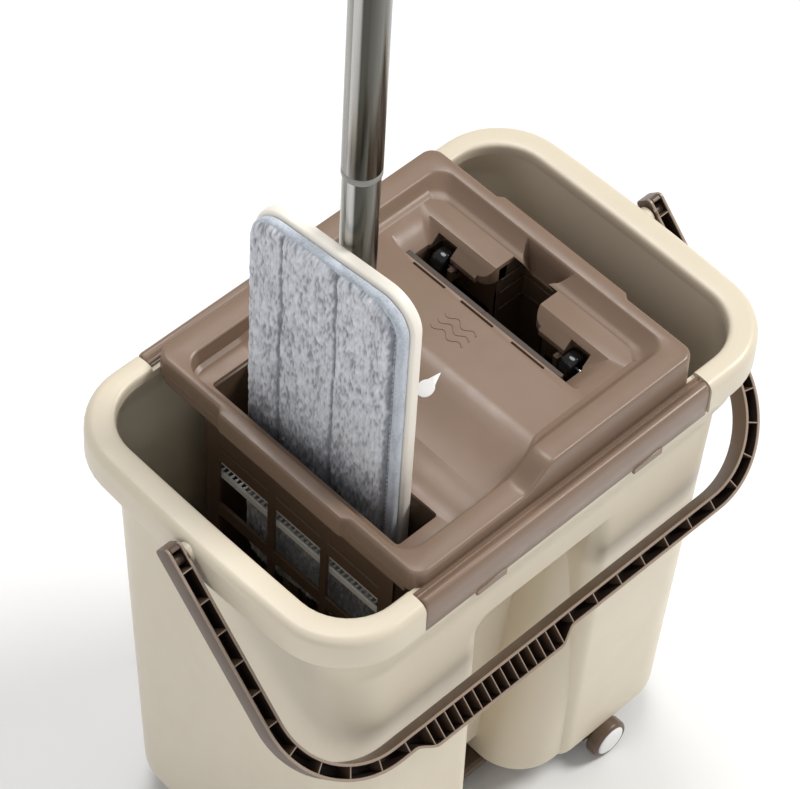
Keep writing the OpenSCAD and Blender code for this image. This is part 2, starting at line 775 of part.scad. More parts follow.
// A tube of outer diameter d and wall t between two heights
module tube(z0, z1, d, t) {
    translate([0, 0, z0]) difference() {
        cylinder(d = d, h = z1 - z0);
        translate([0, 0, -1]) cylinder(d = d - 2 * t, h = z1 - z0 + 2);
    }
}

module lower_tube() {
    color("silver") in_mop_frame() tube(tube_z0, tube_z1 + 60, tube_d, 1.2);
}

module middle_tube() {
    color("silver") in_mop_frame() tube(tube_z1, sleeve_z1, tube_d + 1.6, 0.8);
}

module upper_tube() {
    color("silver") in_mop_frame() tube(sleeve_z1 - 40, upper_z1, tube_d, 1.2);
}

module lower_collar() {
    color("#b9b9b6") in_mop_frame() tube(tube_z1 - 5, tube_z1, tube_d + 1.6, 0.8);
}

module upper_collar() {
    color("#b9b9b6") in_mop_frame() tube(sleeve_z1, sleeve_z1 + 5, tube_d + 1.6, 0.8);
}

module pole_grip() {
    color(handle_brown) in_mop_frame() difference() {
        union() {
            translate([0, 0, grip_z0]) cylinder(d = 29, h = pole_len - grip_z0 - 24);
            for (z = [grip_z0 + 6 : 12 : pole_len - 40]) {
                translate([0, 0, z]) cylinder(d = 30.4, h = 4);
            }
        }
        translate([0, 0, grip_z0 - 1]) cylinder(d = tube_d, h = pole_len);
    }
}

module hanging_cap() {
    color(handle_brown) in_mop_frame() difference() {
        union() {
            translate([0, 0, upper_z1]) cylinder(d = 29, h = 11);
            translate([-5, 0, pole_len - 8]) rotate([0, 90, 0]) cylinder(r = 14, h = 10);
            translate([0, 0, pole_len - 50]) cylinder(d = tube_d - 2.4, h = 30);
        }
        translate([-20, 0, pole_len - 5]) rotate([0, 90, 0]) cylinder(r = 7.5, h = 40);
    }
}

bucket_shell();
base_brace();
rest_feet();
wheel(-1);  // wheel_near
wheel(1);  // wheel_far
wheel_cap(-1);  // wheel_cap_near
wheel_cap(1);  // wheel_cap_far
wheel_axle(-1);  // wheel_axle_near
wheel_axle(1);  // wheel_axle_far
carry_handle();
handle_pin(-1);  // handle_pin_wash
handle_pin(1);  // handle_pin_dry
insert_frame();
wash_well();
dry_well();
well_screws();
wash_brushes();
scraper_blade();
roller(-1);  // roller_near
roller(1);  // roller_far
roller_pin(-1);  // roller_pin_near
roller_pin(1);  // roller_pin_far
wash_icon();
dry_icon();
mop_plate();
pad_backing();
pad_pile();
pad_binding();
grip_strips();
swivel_base();
swivel_ring();
hinge_pin();
pole_yoke();
lower_tube();
middle_tube();
upper_tube();
lower_collar();
upper_collar();
pole_grip();
hanging_cap();
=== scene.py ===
"""Looks for the flat mop and its two-chamber bucket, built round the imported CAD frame.

Shapes are given in millimetres in the part's frame, and become metres in make() and cutter().
Lights, materials and the floor are in metres.
"""

import json
import math

import bpy
import numpy as np
from mathutils import Matrix, Vector


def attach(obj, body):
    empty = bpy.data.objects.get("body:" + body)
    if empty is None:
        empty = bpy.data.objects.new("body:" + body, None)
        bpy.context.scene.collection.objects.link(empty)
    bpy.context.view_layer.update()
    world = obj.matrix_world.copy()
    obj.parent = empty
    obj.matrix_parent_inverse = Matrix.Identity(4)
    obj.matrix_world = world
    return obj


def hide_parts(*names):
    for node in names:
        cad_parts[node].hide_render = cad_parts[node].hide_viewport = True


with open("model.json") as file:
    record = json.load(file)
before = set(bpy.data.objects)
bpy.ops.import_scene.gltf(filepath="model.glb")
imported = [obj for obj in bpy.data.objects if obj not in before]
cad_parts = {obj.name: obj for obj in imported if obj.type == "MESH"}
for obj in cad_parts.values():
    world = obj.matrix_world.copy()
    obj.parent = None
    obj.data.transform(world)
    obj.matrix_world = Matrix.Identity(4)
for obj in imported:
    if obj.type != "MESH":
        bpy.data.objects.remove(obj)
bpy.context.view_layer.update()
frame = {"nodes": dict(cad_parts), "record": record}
MM = 0.001
rng = np.random.default_rng(7)


# ---------------------------- camera, light, floor


AZIMUTH, ELEVATION, ROLL = map(math.radians, (-46.89, 51.47, 3.77))
DISTANCE = 2115.79
TARGET = np.array((-2.0, 0.0, 400.0))
OFF_CENTRE = (14.629, 15.173)


def look_from():
    """The camera's matrix: it looks at TARGET, which lies left of and below the picture's middle."""
    back = np.array((math.sin(AZIMUTH) * math.cos(ELEVATION), -math.cos(AZIMUTH) * math.cos(ELEVATION),
                     math.sin(ELEVATION)))
    right = np.array((math.cos(AZIMUTH), math.sin(AZIMUTH), 0.0))
    c, s = math.cos(ROLL), math.sin(ROLL)
    turn = np.array([[c, s, 0], [-s, c, 0], [0, 0, 1]]) @ np.array([right, np.cross(back, right), back])
    m = np.eye(4)
    m[:3, :3] = turn.T
    m[:3, 3] = (turn.T @ np.array((-OFF_CENTRE[0], -OFF_CENTRE[1], DISTANCE)) + TARGET) * MM
    return Matrix(m.tolist())


camera = bpy.data.objects.new("camera", bpy.data.cameras.new("camera"))
bpy.context.collection.objects.link(camera)
camera.data.sensor_width = 36
camera.data.lens = 157.5
camera.data.clip_end = 60
camera.matrix_world = look_from()
bpy.context.scene.camera = camera
bpy.context.scene.view_settings.view_transform = "Standard"


def sun(name, place, strength, spread, colour=(1, 1, 1)):
    """A soft studio light shining from place towards the bucket, equally strong all over the floor."""
    light = bpy.data.lights.new(name, "SUN")
    light.energy = strength
    light.angle = math.radians(spread)
    light.color = colour
    o = bpy.data.objects.new(name, light)
    o.location = place
    o.rotation_euler = (Vector((0, 0, 0.35)) - Vector(place)).to_track_quat("-Z", "Y").to_euler()
    bpy.context.collection.objects.link(o)


sun("key", (2.1, -1.1, 2.7), 2.1, 20, (1.0, 0.985, 0.96))
sun("fill", (-2.4, -0.6, 1.9), 0.36, 30, (0.97, 0.98, 1.0))
sun("top", (0.5, 0.9, 3.2), 1.42, 26)

world = bpy.data.worlds.new("studio")
bpy.context.scene.world = world
world.use_nodes = True
world.node_tree.nodes["Background"].inputs["Color"].default_value = (0.97, 0.98, 1.0, 1)
world.node_tree.nodes["Background"].inputs["Strength"].default_value = 0.38


# ---------------------------- materials


class Nodes:
    """A small helper round one material's node tree. Colours are given as three numbers."""

    def __init__(self, name):
        self.material = bpy.data.materials.new(name)
        self.material.use_nodes = True
        self.tree = self.material.node_tree
        self.shader = self.tree.nodes["Principled BSDF"]
        self.place = self.add("ShaderNodeTexCoord").outputs["Object"]

    def feed(self, socket, value):
        if hasattr(value, "is_output"):
            self.tree.links.new(value, socket)
        else:
            socket.default_value = (*value, 1) if socket.type == "RGBA" else value

    def add(self, kind, inputs=(), **values):
        node = self.tree.nodes.new(kind)
        for key, value in values.items():
            setattr(node, key, value)
        for key, value in dict(inputs).items():
            self.feed(node.inputs[key], value)
        return node

    def noise(self, scale, detail=3.0, stretch=(1, 1, 1), rough=0.5, distortion=0.0):
        mapping = self.add("ShaderNodeMapping", {"Scale": stretch, "Vector": self.place})
        noise = self.add("ShaderNodeTexNoise", {
            "Scale": scale, "Detail": detail, "Roughness": rough, "Distortion": distortion,
            "Vector": mapping.outputs["Vector"]})
        return noise.outputs["Fac"]

    def maths(self, operation, *values):
        return self.add("ShaderNodeMath", enumerate(values), operation=operation).outputs["Value"]

    def ramp(self, factor, stops):
        ramp = self.add("ShaderNodeValToRGB", {"Fac": factor})
        elements = ramp.color_ramp.elements
        while len(elements) < len(stops):
            elements.new(0.5)
        for element, (at, colour) in zip(elements, stops):
            element.position = at
            element.color = (*colour, 1)
        return ramp.outputs["Color"]

    def mix(self, factor, a, b, mode="MIX"):
        node = self.add("ShaderNodeMix", {0: factor, 6: a, 7: b}, data_type="RGBA", blend_type=mode)
        return node.outputs[2]

    def spread(self, value, low, high, at=(0.3, 0.7)):
        inputs = {"From Min": at[0], "From Max": at[1], "To Min": low, "To Max": high, "Value": value}
        return self.add("ShaderNodeMapRange", inputs).outputs["Result"]

    def bump(self, height, distance, strength=1.0, below=None):
        inputs = {"Distance": distance, "Strength": strength, "Height": height}
        if below is not None:
            inputs["Normal"] = below
        return self.add("ShaderNodeBump", inputs).outputs["Normal"]

    def finish(self, colour, rough, normal=None, **values):
        values.update(Base_Color=colour, Roughness=rough)
        if normal is not None:
            values["Normal"] = normal
        for key, value in values.items():
            self.feed(self.shader.inputs[key.replace("_", " ")], value)
        return self.material


def darker(colour, k):
    return tuple(c * k for c in colour)


def plastic(name, colour, rough, mottle=0.94, grain=0.00004):
    """Moulded plastic: faint flow mottling, a satin grain and slightly uneven gloss."""
    n = Nodes(name)
    flow = n.noise(9, 4, (1, 1, 0.45), 0.6, 0.4)
    tint = n.ramp(flow, [(0.32, darker(colour, mottle)), (0.7, colour)])
    specks = n.noise(420, 2)
    tint = n.mix(n.spread(specks, 0, 0.10, (0.62, 0.75)), tint, darker(colour, 0.8))
    gloss = n.spread(n.noise(60, 3), rough - 0.05, rough + 0.06)
    fine = n.bump(n.noise(2600, 2), grain, 0.6)
    normal = n.bump(n.noise(26, 2), 0.0003, 0.14, fine)
    return n.finish(tint, gloss, normal, Specular_IOR_Level=0.45)


POLE_X = 64
# painted reflections, as light and dark bands round the pole: (share of a turn, brightness, share of blue)
PAINTED_REFLECTION_BANDS = [
    (0.0, 0.62, 0.97), (0.04, 0.80, 0.97), (0.062, 0.60, 0.95), (0.08, 0.085, 0.86), (0.13, 0.10, 0.86),
    (0.19, 0.17, 0.88), (0.24, 0.24, 0.90), (0.285, 0.17, 0.88), (0.35, 0.55, 0.93), (0.42, 0.85, 0.97),
    (0.50, 0.32, 0.92), (0.56, 0.10, 0.88), (0.63, 0.20, 0.9), (0.70, 0.70, 0.96), (0.77, 0.90, 0.98),
    (0.84, 0.30, 0.92), (0.92, 0.26, 0.9), (0.965, 0.30, 0.9),
]


def inside_plastic(name, colour):
    """The bucket's plastic seen from inside: the walls darken and brown towards the bottom, partly as
    painted shade deep in the tubs and partly as the brown of dirty water.
    """
    n = Nodes(name)
    place = n.add("ShaderNodeSeparateXYZ", {"Vector": n.place})
    ragged = n.maths("MULTIPLY_ADD", n.noise(12, 3), 0.02, place.outputs["Z"])
    height = n.spread(ragged, 0.0, 1.0, (0.06, 0.37))
    # painted shade deep in the tubs, mixed with the brown of dirty water, darkest at the bottom
    tint = n.ramp(height, [(0.0, (0.12, 0.075, 0.045)), (0.35, (0.30, 0.21, 0.13)),
                           (0.62, (0.70, 0.60, 0.45)), (0.85, colour)])
    gloss = n.spread(n.noise(60, 3), 0.33, 0.45)
    return n.finish(tint, gloss, n.bump(n.noise(2600, 2), 0.00004, 0.6))


def steel(name, colour, rough=0.17):
    """Polished tube with fine drawn lines along its length, faint smears and painted reflections in light
    and dark bands.
    """
    n = Nodes(name)
    lines = n.noise(900, 3, (1, 1, 0.012))
    smear = n.noise(14, 3, (1, 1, 0.35))
    tint = n.ramp(smear, [(0.3, darker(colour, 0.9)), (0.7, colour)])
    tint = n.mix(n.spread(lines, 0.0, 0.22), tint, darker(colour, 0.78))
    # the painted reflections follow the angle round the pole, which stands at x = -POLE_X
    place = n.add("ShaderNodeSeparateXYZ", {"Vector": n.place})
    across = n.maths("ADD", place.outputs["X"], POLE_X * MM)
    angle = n.maths("ARCTAN2", place.outputs["Y"], across)
    turn = n.spread(angle, 0.0, 1.0, (-math.pi, math.pi))
    bands = n.ramp(turn, [(at, (v, v * 0.985, v * w)) for at, v, w in PAINTED_REFLECTION_BANDS])
    tint = n.mix(1.0, tint, bands, "MULTIPLY")
    gloss = n.spread(lines, rough - 0.04, rough + 0.10)
    return n.finish(tint, gloss, n.bump(lines, 0.00002, 0.5), Metallic=1.0)


def fabric(name, dark, light, scale=900.0, stretch=(1, 1, 0.18), depth=0.0009, shaded=False):
    """Short pile: clumped fibres along Z with painted shade in the gaps between clumps; with shaded, the
    mesh's own shade attribute paints light and shade on it.
    """
    n = Nodes(name)
    fibres = n.noise(scale, 4, stretch, 0.65, 0.6)
    clumps = n.noise(scale * 0.13, 4, (1, 1, 0.5), 0.6, 0.8)
    tint = n.ramp(fibres, [(0.34, dark), (0.62, light)])
    tint = n.mix(n.spread(clumps, 0.0, 0.55, (0.38, 0.66)), tint, darker(light, 1.12))
    tint = n.mix(n.spread(clumps, 0.55, 0.0, (0.30, 0.5)), tint, dark)
    if shaded:
        # painted light and shade: the shade attribute darkens channels and the seam and lightens the tufts'
        # tops
        shade = n.add("ShaderNodeAttribute", attribute_name="shade").outputs["Fac"]
        tone = n.ramp(shade, [(0.05, darker(dark, 0.7)), (0.3, dark), (0.55, light),
                              (0.9, darker(light, 1.35))])
        tint = n.mix(0.3, tone, tint)
    normal = n.bump(fibres, depth, 0.9, n.bump(clumps, depth * 1.6, 0.7))
    return n.finish(tint, 0.85, normal, Sheen_Weight=0.25, Sheen_Roughness=0.4)


CREAM = (0.69, 0.61, 0.475)
TAUPE = (0.225, 0.150, 0.104)
DARK = (0.120, 0.076, 0.050)
# colour, roughness, then the depth of the mottling and of the grain
PLASTICS = {
    "bucket_plastic": (CREAM, 0.36, 0.955),
    "insert_plastic": (TAUPE, 0.33, 0.92),
    "dark_plastic": (DARK, 0.34, 0.88),
    # painted shade for the handle's pocket, and a painted highlight for its rims and rib crowns
    "pocket_shade": ((0.030, 0.017, 0.011), 0.5),
    "painted_highlight_edge": ((0.35, 0.27, 0.21), 0.28),
    "black_plastic": ((0.012, 0.012, 0.012), 0.10, 0.9, 0.00001),
    "white_plastic": ((0.86, 0.86, 0.85), 0.3),
    "plate_plastic": ((0.93, 0.88, 0.78), 0.4),
    "collar_plastic": ((0.27, 0.26, 0.24), 0.35),
    "blade_rubber": ((0.060, 0.042, 0.032), 0.5),
    "foot_rubber": ((0.02, 0.02, 0.02), 0.7),
}
# dark, light, scale, stretch and depth
FABRICS = {
    "pad_pile": ((0.25, 0.26, 0.30), (0.70, 0.715, 0.76), 900, (1, 1, 0.18), 0.0009, True),
    "pad_fabric": ((0.10, 0.12, 0.16), (0.34, 0.37, 0.42), 500, (1, 1, 1), 0.0002),
    "pad_edge": ((0.36, 0.40, 0.45), (0.56, 0.60, 0.66), 700, (1, 1, 1), 0.0002),
    "strip_fabric": ((0.05, 0.05, 0.05), (0.16, 0.16, 0.17), 1400, (1, 1, 1)),
}
MATERIALS = {name: plastic(name, *values) for name, values in PLASTICS.items()}
MATERIALS.update({name: fabric(name, *values) for name, values in FABRICS.items()})
MATERIALS["bucket_inside"] = inside_plastic("bucket_inside", (0.86, 0.78, 0.63))
MATERIALS["steel"] = steel("steel", (0.78, 0.77, 0.75))

for slot in frame["record"]["subparts"]:
    target = frame["nodes"].get(slot["node"])
    if target is not None:
        for holder in target.material_slots:
            holder.material = MATERIALS[slot["material_slot"]]


# ---------------------------- mesh helpers


def make(name, verts, faces, slot, body, replaced=(), sharp=32.0, matrix=None, paint=()):
    """One mesh object from millimetre points, riding on a body; paint gives some faces another finish."""
    mesh = bpy.data.meshes.new(name)
    points = np.asarray(verts, float) * MM
    if matrix is not None:
        m = np.array(matrix)
        points = points @ m[:3, :3].T + m[:3, 3]
    mesh.from_pydata([tuple(p) for p in points], [], [tuple(int(i) for i in f) for f in faces])
    mesh.validate()
    mesh.polygons.foreach_set("use_smooth", [True] * len(mesh.polygons))
    mesh.set_sharp_from_angle(angle=math.radians(sharp))
    o = bpy.data.objects.new(name, mesh)
    mesh.materials.append(MATERIALS[slot])
    for k, (finish, chosen) in enumerate(paint):
        mesh.materials.append(MATERIALS[finish])
        for i in chosen:
            mesh.polygons[i].material_index = k + 1
    bpy.context.collection.objects.link(o)
    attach(o, body)
    if replaced:
        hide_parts(*replaced)
    return o


class Shape:
    """Collects points and faces of several parts of one piece."""

    def __init__(self):
        self.verts, self.faces, self.count = [], [], 0

    def add(self, verts, faces):
        verts = np.asarray(verts, float).reshape(-1, 3)
        self.verts.append(verts)
        self.faces += [[i + self.count for i in f] for f in faces]
        self.count += len(verts)

    def loft(self, rings, caps=(False, False), closed=True, flip=False):
        """A skin through rings of equal length; caps close its first and last ring."""
        n, m = len(rings[0]), len(rings)
        faces = []
        for j in range(m - 1):
            for i in range(n if closed else n - 1):
                k = (i + 1) % n
                faces.append([j * n + i, j * n + k, (j + 1) * n + k, (j + 1) * n + i])
        if caps[0]:
            faces.append(list(range(n))[::-1])
        if caps[1]:
            faces.append([(m - 1) * n + i for i in range(n)])
        if flip:
            faces = [f[::-1] for f in faces]
        self.add(np.vstack(rings), faces)

    def box(self, low, high, r=0.4):
        """A box with bevelled edges."""
        low, high = np.array(low, float), np.array(high, float)
        r = min(r, *(high - low) / 2.01)
        rings = []
        for z, inset in ((low[2], r), (low[2] + r, 0), (high[2] - r, 0), (high[2], r)):
            x0, y0, x1, y1 = low[0] + inset, low[1] + inset, high[0] - inset, high[1] - inset
            c = r * 0.7
            rings.append([(x1, y0 + c, z), (x1, y1 - c, z), (x1 - c, y1, z), (x0 + c, y1, z),
                          (x0, y1 - c, z), (x0, y0 + c, z), (x0 + c, y0, z), (x1 - c, y0, z)])
        self.loft(rings, (True, True))

    def turn(self, profile, centre=(0, 0, 0), axis=(0, 0, 1), steps=48, caps=(False, False), flip=False):
        """A turned part, from its profile of (radius, along) points."""
        self.loft(lathe(profile, centre, axis, steps), caps, flip=flip)

    def make(self, name, slot, body, replaced=(), sharp=32.0, matrix=None, paint=()):
        return make(name, np.vstack(self.verts), self.faces, slot, body, replaced, sharp, matrix, paint)


def smooth_step(t):
    """0 below 0 and 1 above 1, with a smooth rise between."""
    t = min(max(t, 0.0), 1.0)
    return t * t * (3 - 2 * t)


def ring(x0, x1, yh, ra, rb, z, bow=0.0, cuts=(), arc=10, span=24):
    """A level rounded rectangle, anticlockwise from its +X +Y corner.

    ra and rb are its corner radii at the low-X and high-X ends, bow swells the ends in the
    middle, and cuts are the places along X where the long sides get a point."""
    points = []

    def corner(cx, cy, r, a):
        for k in range(arc + 1):
            t = math.radians(a + 90 * k / arc)
            points.append((cx + r * math.cos(t), cy + r * math.sin(t)))

    def run(p, q, stops):
        for t in stops:
            points.append((p[0] + (q[0] - p[0]) * t, p[1] + (q[1] - p[1]) * t))

    cuts = sorted(cuts)
    even = [k / span for k in range(1, span)]
    left, right = x0 + ra, x1 - rb
    corner(x1 - rb, yh - rb, rb, 0)
    if cuts:
        points.extend((x, yh) for x in reversed(cuts))
    else:
        run((right, yh), (left, yh), even)
    corner(x0 + ra, yh - ra, ra, 90)
    run((x0, yh - ra), (x0, ra - yh), even[1::2])
    corner(x0 + ra, ra - yh, ra, 180)
    if cuts:
        points.extend((x, -yh) for x in cuts)
    else:
        run((left, -yh), (right, -yh), even)
    corner(x1 - rb, rb - yh, rb, 270)
    run((x1, rb - yh), (x1, yh - rb), even[1::2])
    p = np.array(points)
    mid = (x0 + x1) / 2
    p[:, 0] += (p[:, 0] - mid) / (x1 - x0) * 2 * bow * (1 - (p[:, 1] / yh) ** 2)
    return np.column_stack([p, np.full(len(p), float(z))])


def lathe(profile, centre, axis, steps=48):
    """Rings of (radius, along) points turned about an axis through centre."""
    axis = np.array(axis, float) / np.linalg.norm(axis)
    side = np.cross(axis, (0, 0, 1) if abs(axis[2]) < 0.9 else (1, 0, 0))
    side /= np.linalg.norm(side)
    other = np.cross(axis, side)
    angles = np.arange(steps) * 2 * math.pi / steps
    wheel = np.outer(np.cos(angles), side) + np.outer(np.sin(angles), other)
    return [np.array(centre) + wheel * max(r, 0.01) + axis * a for r, a in profile]


def rounded(profile, r):
    """The same profile with each inner corner turned into a curve of about radius r."""
    steps = 4
    out = [profile[0]]
    for a, b, c in zip(profile, profile[1:], profile[2:]):
        a, b, c = map(np.array, (a, b, c))
        u, v = a - b, c - b
        lu, lv = np.linalg.norm(u), np.linalg.norm(v)
        k = min(r, lu * 0.45, lv * 0.45)
        p, q = b + u / lu * k, b + v / lv * k
        for i in range(steps + 1):
            t = i / steps
            out.append(tuple((1 - t) ** 2 * p + 2 * t * (1 - t) * b + t * t * q))
    out.append(profile[-1])
    return out


def rod(r, a, b, edge, bore=0):
    """The profile of a rod from a to b along its axis, with bevelled ends."""
    return [(bore, a), (r - edge, a), (r, a + edge), (r, b - edge), (r - edge, b), (bore, b)]


def turned(name, slot, body, node, profile, centre=(0, 0, 0), axis=(0, 0, 1), steps=48, matrix=None):
    """A piece that is one turned part and stands for one CAD node."""
    s = Shape()
    s.turn(profile, centre, axis, steps)
    s.make(name, slot, body, [node], matrix=matrix)


# ---------------------------- bucket

SKIRT, BASE, ARCH, WALL = 374.0, 24.0, 308.0, 2.4
COVER = (-122.0, 118.0)
PIVOT_X, PIVOT_Z = 193.6, 390.0


def draft(z):
    """How far the walls lean in at a height."""
    return 9.0 * (SKIRT - z) / (SKIRT - BASE)


def body_end(z):
    return 171.0 - draft(z)


def body_side(z, flare=11.8):
    """Half the bucket's depth, which flares out just under the rim."""
    return 113.0 - draft(z) + flare * smooth_step((z - SKIRT + 46) / 46)


def arch_side(low, z):
    """A tub's inner side: it leans back from low at the foot and rounds into the arch."""
    half, r = 50.0, 20.0
    if z < ARCH - r:
        return low + (half - low) * (z - BASE) / (ARCH - r - BASE)
    return half - r + math.sqrt(max(0.0, r * r - (z - ARCH + r) ** 2))


def tub_heights():
    """(height, inset) of a tub's rings from its rounded foot to the arch."""
    foot = [(BASE + 8 * (1 - math.cos(a)), 8 * (1 - math.sin(a))) for a in np.radians(np.arange(0, 91, 15))]
    straight = [(z, 0.0) for z in np.arange(50, 288, 26)]
    top = [(ARCH - 20 + 20 * math.sin(a), 0.0) for a in np.radians(np.arange(0, 91, 10))]
    return foot + straight + top


def wash_ring(z, inset):
    return ring(-body_end(z) + inset, -arch_side(37, z) - inset, 113 - draft(z) - inset,
                36 - inset, 16 - inset / 2, z)


def dry_ring(z, inset):
    return ring(arch_side(11, z) + inset, body_end(z) - 1.2 - inset, 109.5 - draft(z) - inset,
                36 - inset, 36 - inset, z)


def panel_ring(z, inset):
    """The dry tub's wide panel, with a soft step down to the rounded corner."""
    return ring(49, body_end(z) - inset, 113 - draft(z) - inset, 12, 36 - inset, z)


def ceiling(z, wall, down):
    """The plate between the two tubs' tops, following their rounded corners."""
    edge = 113 - draft(z) - wall
    half = []
    for a in range(0, 91, 15):
        t = math.radians(a)
        r = 16 - wall / 2
        half.append((-30 - wall - r + r * math.cos(t), edge - r + r * math.sin(t)))
    half += [(61, edge), (54, edge - 2.4), (50, edge - 6.4), (49, edge - 8)]
    for a in range(122, 181, 8):
        t = math.radians(min(a, 180))
        half.append((66 + wall + 36 * math.cos(t), edge - 3.5 - 36 + 36 * math.sin(t)))
    points = half + [(x, -y) for x, y in half[::-1]]
    face = list(range(len(points)))
    return [(x, y, z) for x, y in points], [face if down else face[::-1]]


def build_bucket():
    s = Shape()
    for make_ring in (wash_ring, dry_ring, panel_ring):
        s.loft([make_ring(z, i) for z, i in tub_heights()], (True, False))
    # web between the tubs, and the arch's ceiling
    for side in (-1, 1):
        web = [[(-60, side * 58, z), (60, side * 58, z)] for z in (44, 180, ARCH)]
        s.loft(web, closed=False, flip=side > 0)
    collar_z = [ARCH] + [SKIRT - 46 + 4 * k for k in range(12)] + [SKIRT + 2]
    s.loft([ring(-body_end(z), body_end(z), body_side(z), 36, 36, z) for z in collar_z])
    s.add(*ceiling(ARCH, 0.0, True))

    # rim: skirt, rounded crest and the gently sloping top, down into the throat
    profile = [(191.4, 124.4, 45.4, SKIRT, 4.4), (192.8, 125.8, 46.8, SKIRT - 0.1, 4.8),
               (193.7, 126.7, 47.7, SKIRT + 0.6, 5.0), (194.0, 127.0, 48.0, SKIRT + 2, 5.0),
               (193.8, 126.8, 47.8, 386, 5.0)]
    for a in np.radians(np.arange(0, 91, 11.25)):
        inset = 0.3 + 6.5 * (1 - math.cos(a))
        z = 393.2 + 6.5 * math.sin(a)
        profile.append((194.0 - inset, 127.0 - inset, 48.0 - inset, z, 5.0 - inset / 6))
    profile += [(183.0, 117.6, 41.5, 400.0, 3.5), (177.6, 113.6, 38.0, 399.9, 2.4),
                (175.0, 111.8, 36.4, 399.5, 1.9), (173.8, 110.9, 35.6, 398.7, 1.6),
                (173.1, 110.4, 35.2, 397.2, 1.5), (172.6, 110.2, 35.0, 394.0, 1.5),
                (172.4, 110.2, 35.0, 391.8, 1.5)]
    cuts = [COVER[0] - 0.75, COVER[0] - 0.65, -60, 0, 60, COVER[1] + 0.65, COVER[1] + 0.75]
    rings = []
    for xh, yh, r, z, bow in profile:
        p = ring(bow - xh, xh - bow, yh, r, r, z, bow, cuts)
        under = (p[:, 0] > COVER[0] - 0.7) & (p[:, 0] < COVER[1] + 0.7) & (abs(p[:, 1]) > 100)
        p[under, 1] = np.sign(p[under, 1]) * np.minimum(abs(p[under, 1]), 122.9)
        p[under, 2] = np.minimum(p[under, 2], 396.6)
        rings.append(p)
    s.loft(rings)
    # bosses behind the handle's eyes
    boss = [(7.2, -6), (6.6, 2.0), (6.2, 2.8), (0, 2.8)]
    for side in (-1, 1):
        s.turn(boss, (side * PIVOT_X, 0, PIVOT_Z), (side, 0, 0), flip=side < 0)
    s.make("bucket_moulding", "bucket_plastic", "bucket", ["bucket_shell"])
    # inside skins
    s = Shape()
    rings = []
    for z in np.linspace(392.2, ARCH + WALL, 16):
        mouth = smooth_step((z - 350) / 42)
        end = body_end(z) - WALL + 1.9 * mouth
        wide = min(body_side(z, 9.5) - WALL, 110.2 + (392 - z) * 0.4)
        rings.append(ring(-end, end, wide, 35, 35, z, 1.5 * mouth))
    s.loft(rings[::-1], flip=True)
    inside = [(z + WALL, i + WALL) for z, i in tub_heights()][::-1]
    for make_ring in (wash_ring, dry_ring):
        s.loft([make_ring(z, i) for z, i in inside], (False, True))
    s.add(*ceiling(ARCH + WALL, WALL, False))
    s.make("bucket_inside", "bucket_inside", "bucket")


build_bucket()

# ---------------------------- cover

CREST_LOW, CREST_HIGH, PLATEAU = 409.6, 424.0, 415.0
FRAME_X = (-119.0, 115.0)
FRAME_Y = 114.0
NOTCH_Y, NOTCH_DEPTH = 18.6, 16
DECK = [(-125, 394), (-66, 394.0), (-62, 394.8), (-56, 396.6), (-48, 398.6), (-38, 401.4), (-28, 404.7),
        (-18, 408.6), (-9, 412.2), (-2, 414.5), (1.2, PLATEAU), (130, PLATEAU)]


def crest(x):
    """Height of the raised frame's crest, low at the wash end."""
    return CREST_LOW + (CREST_HIGH - CREST_LOW) * smooth_step((x + 31) / 24)


def deck(x):
    """Height of the floor inside the frame: a low basin, a ramp and a plateau."""
    xs, zs = zip(*DECK)
    return float(np.interp(x, xs, zs))


def frame_ring(inset_x0, inset_x1, inset_y, ra, rb, lift, bump):
    """One ring of the frame, lift above its crest; bump makes the middle of each end proud."""
    p = ring(FRAME_X[0] + inset_x0, FRAME_X[1] - inset_x1, FRAME_Y - inset_y, ra, rb, 0.0, span=200)
    ends = (p[:, 0] < FRAME_X[0] + inset_x0 + 0.5) | (p[:, 0] > FRAME_X[1] - inset_x1 - 0.5)
    p[:, 0] += np.sign(p[:, 0]) * [smooth_step((56 - abs(y)) / 4) for y in p[:, 1]] * bump * ends
    p[:, 2] = [crest(x) + lift for x in p[:, 0]]
    return p


def inner_ring(top, t, lift):
    """A ring t of the way down the frame's inner wall; past 0.9 it turns into the fillet.

    At the dry end the wall is cut away in the middle, for the pole."""
    p = top.copy()
    foot = max(0.0, (t - 0.9) / 0.22)
    down = min(t, 1.0)
    for k, (x, y, z) in enumerate(top):
        slope = 5.0 * smooth_step((x + 14) / 20)
        shift = slope * t + 0.8 * t + 3.0 * foot
        notch = 1 - smooth_step((abs(y) - NOTCH_Y) / 1.6) if x > 88 else 0.0
        end = 9.0 * t + 2.0 * foot
        end += notch * (3.4 * t - end)
        if x > 80:
            p[k, 0] = x - end * smooth_step((x - 88) / 12)
        if x < -100:
            p[k, 0] = x + 1.2 * t
        p[k, 1] = y - math.copysign(min(shift, abs(y)), y)
        sunk = 0.25 if t > 1.05 else 0
        p[k, 2] = z + (deck(min(x, 90)) + lift - z) * down - sunk - NOTCH_DEPTH * notch * down
    return p


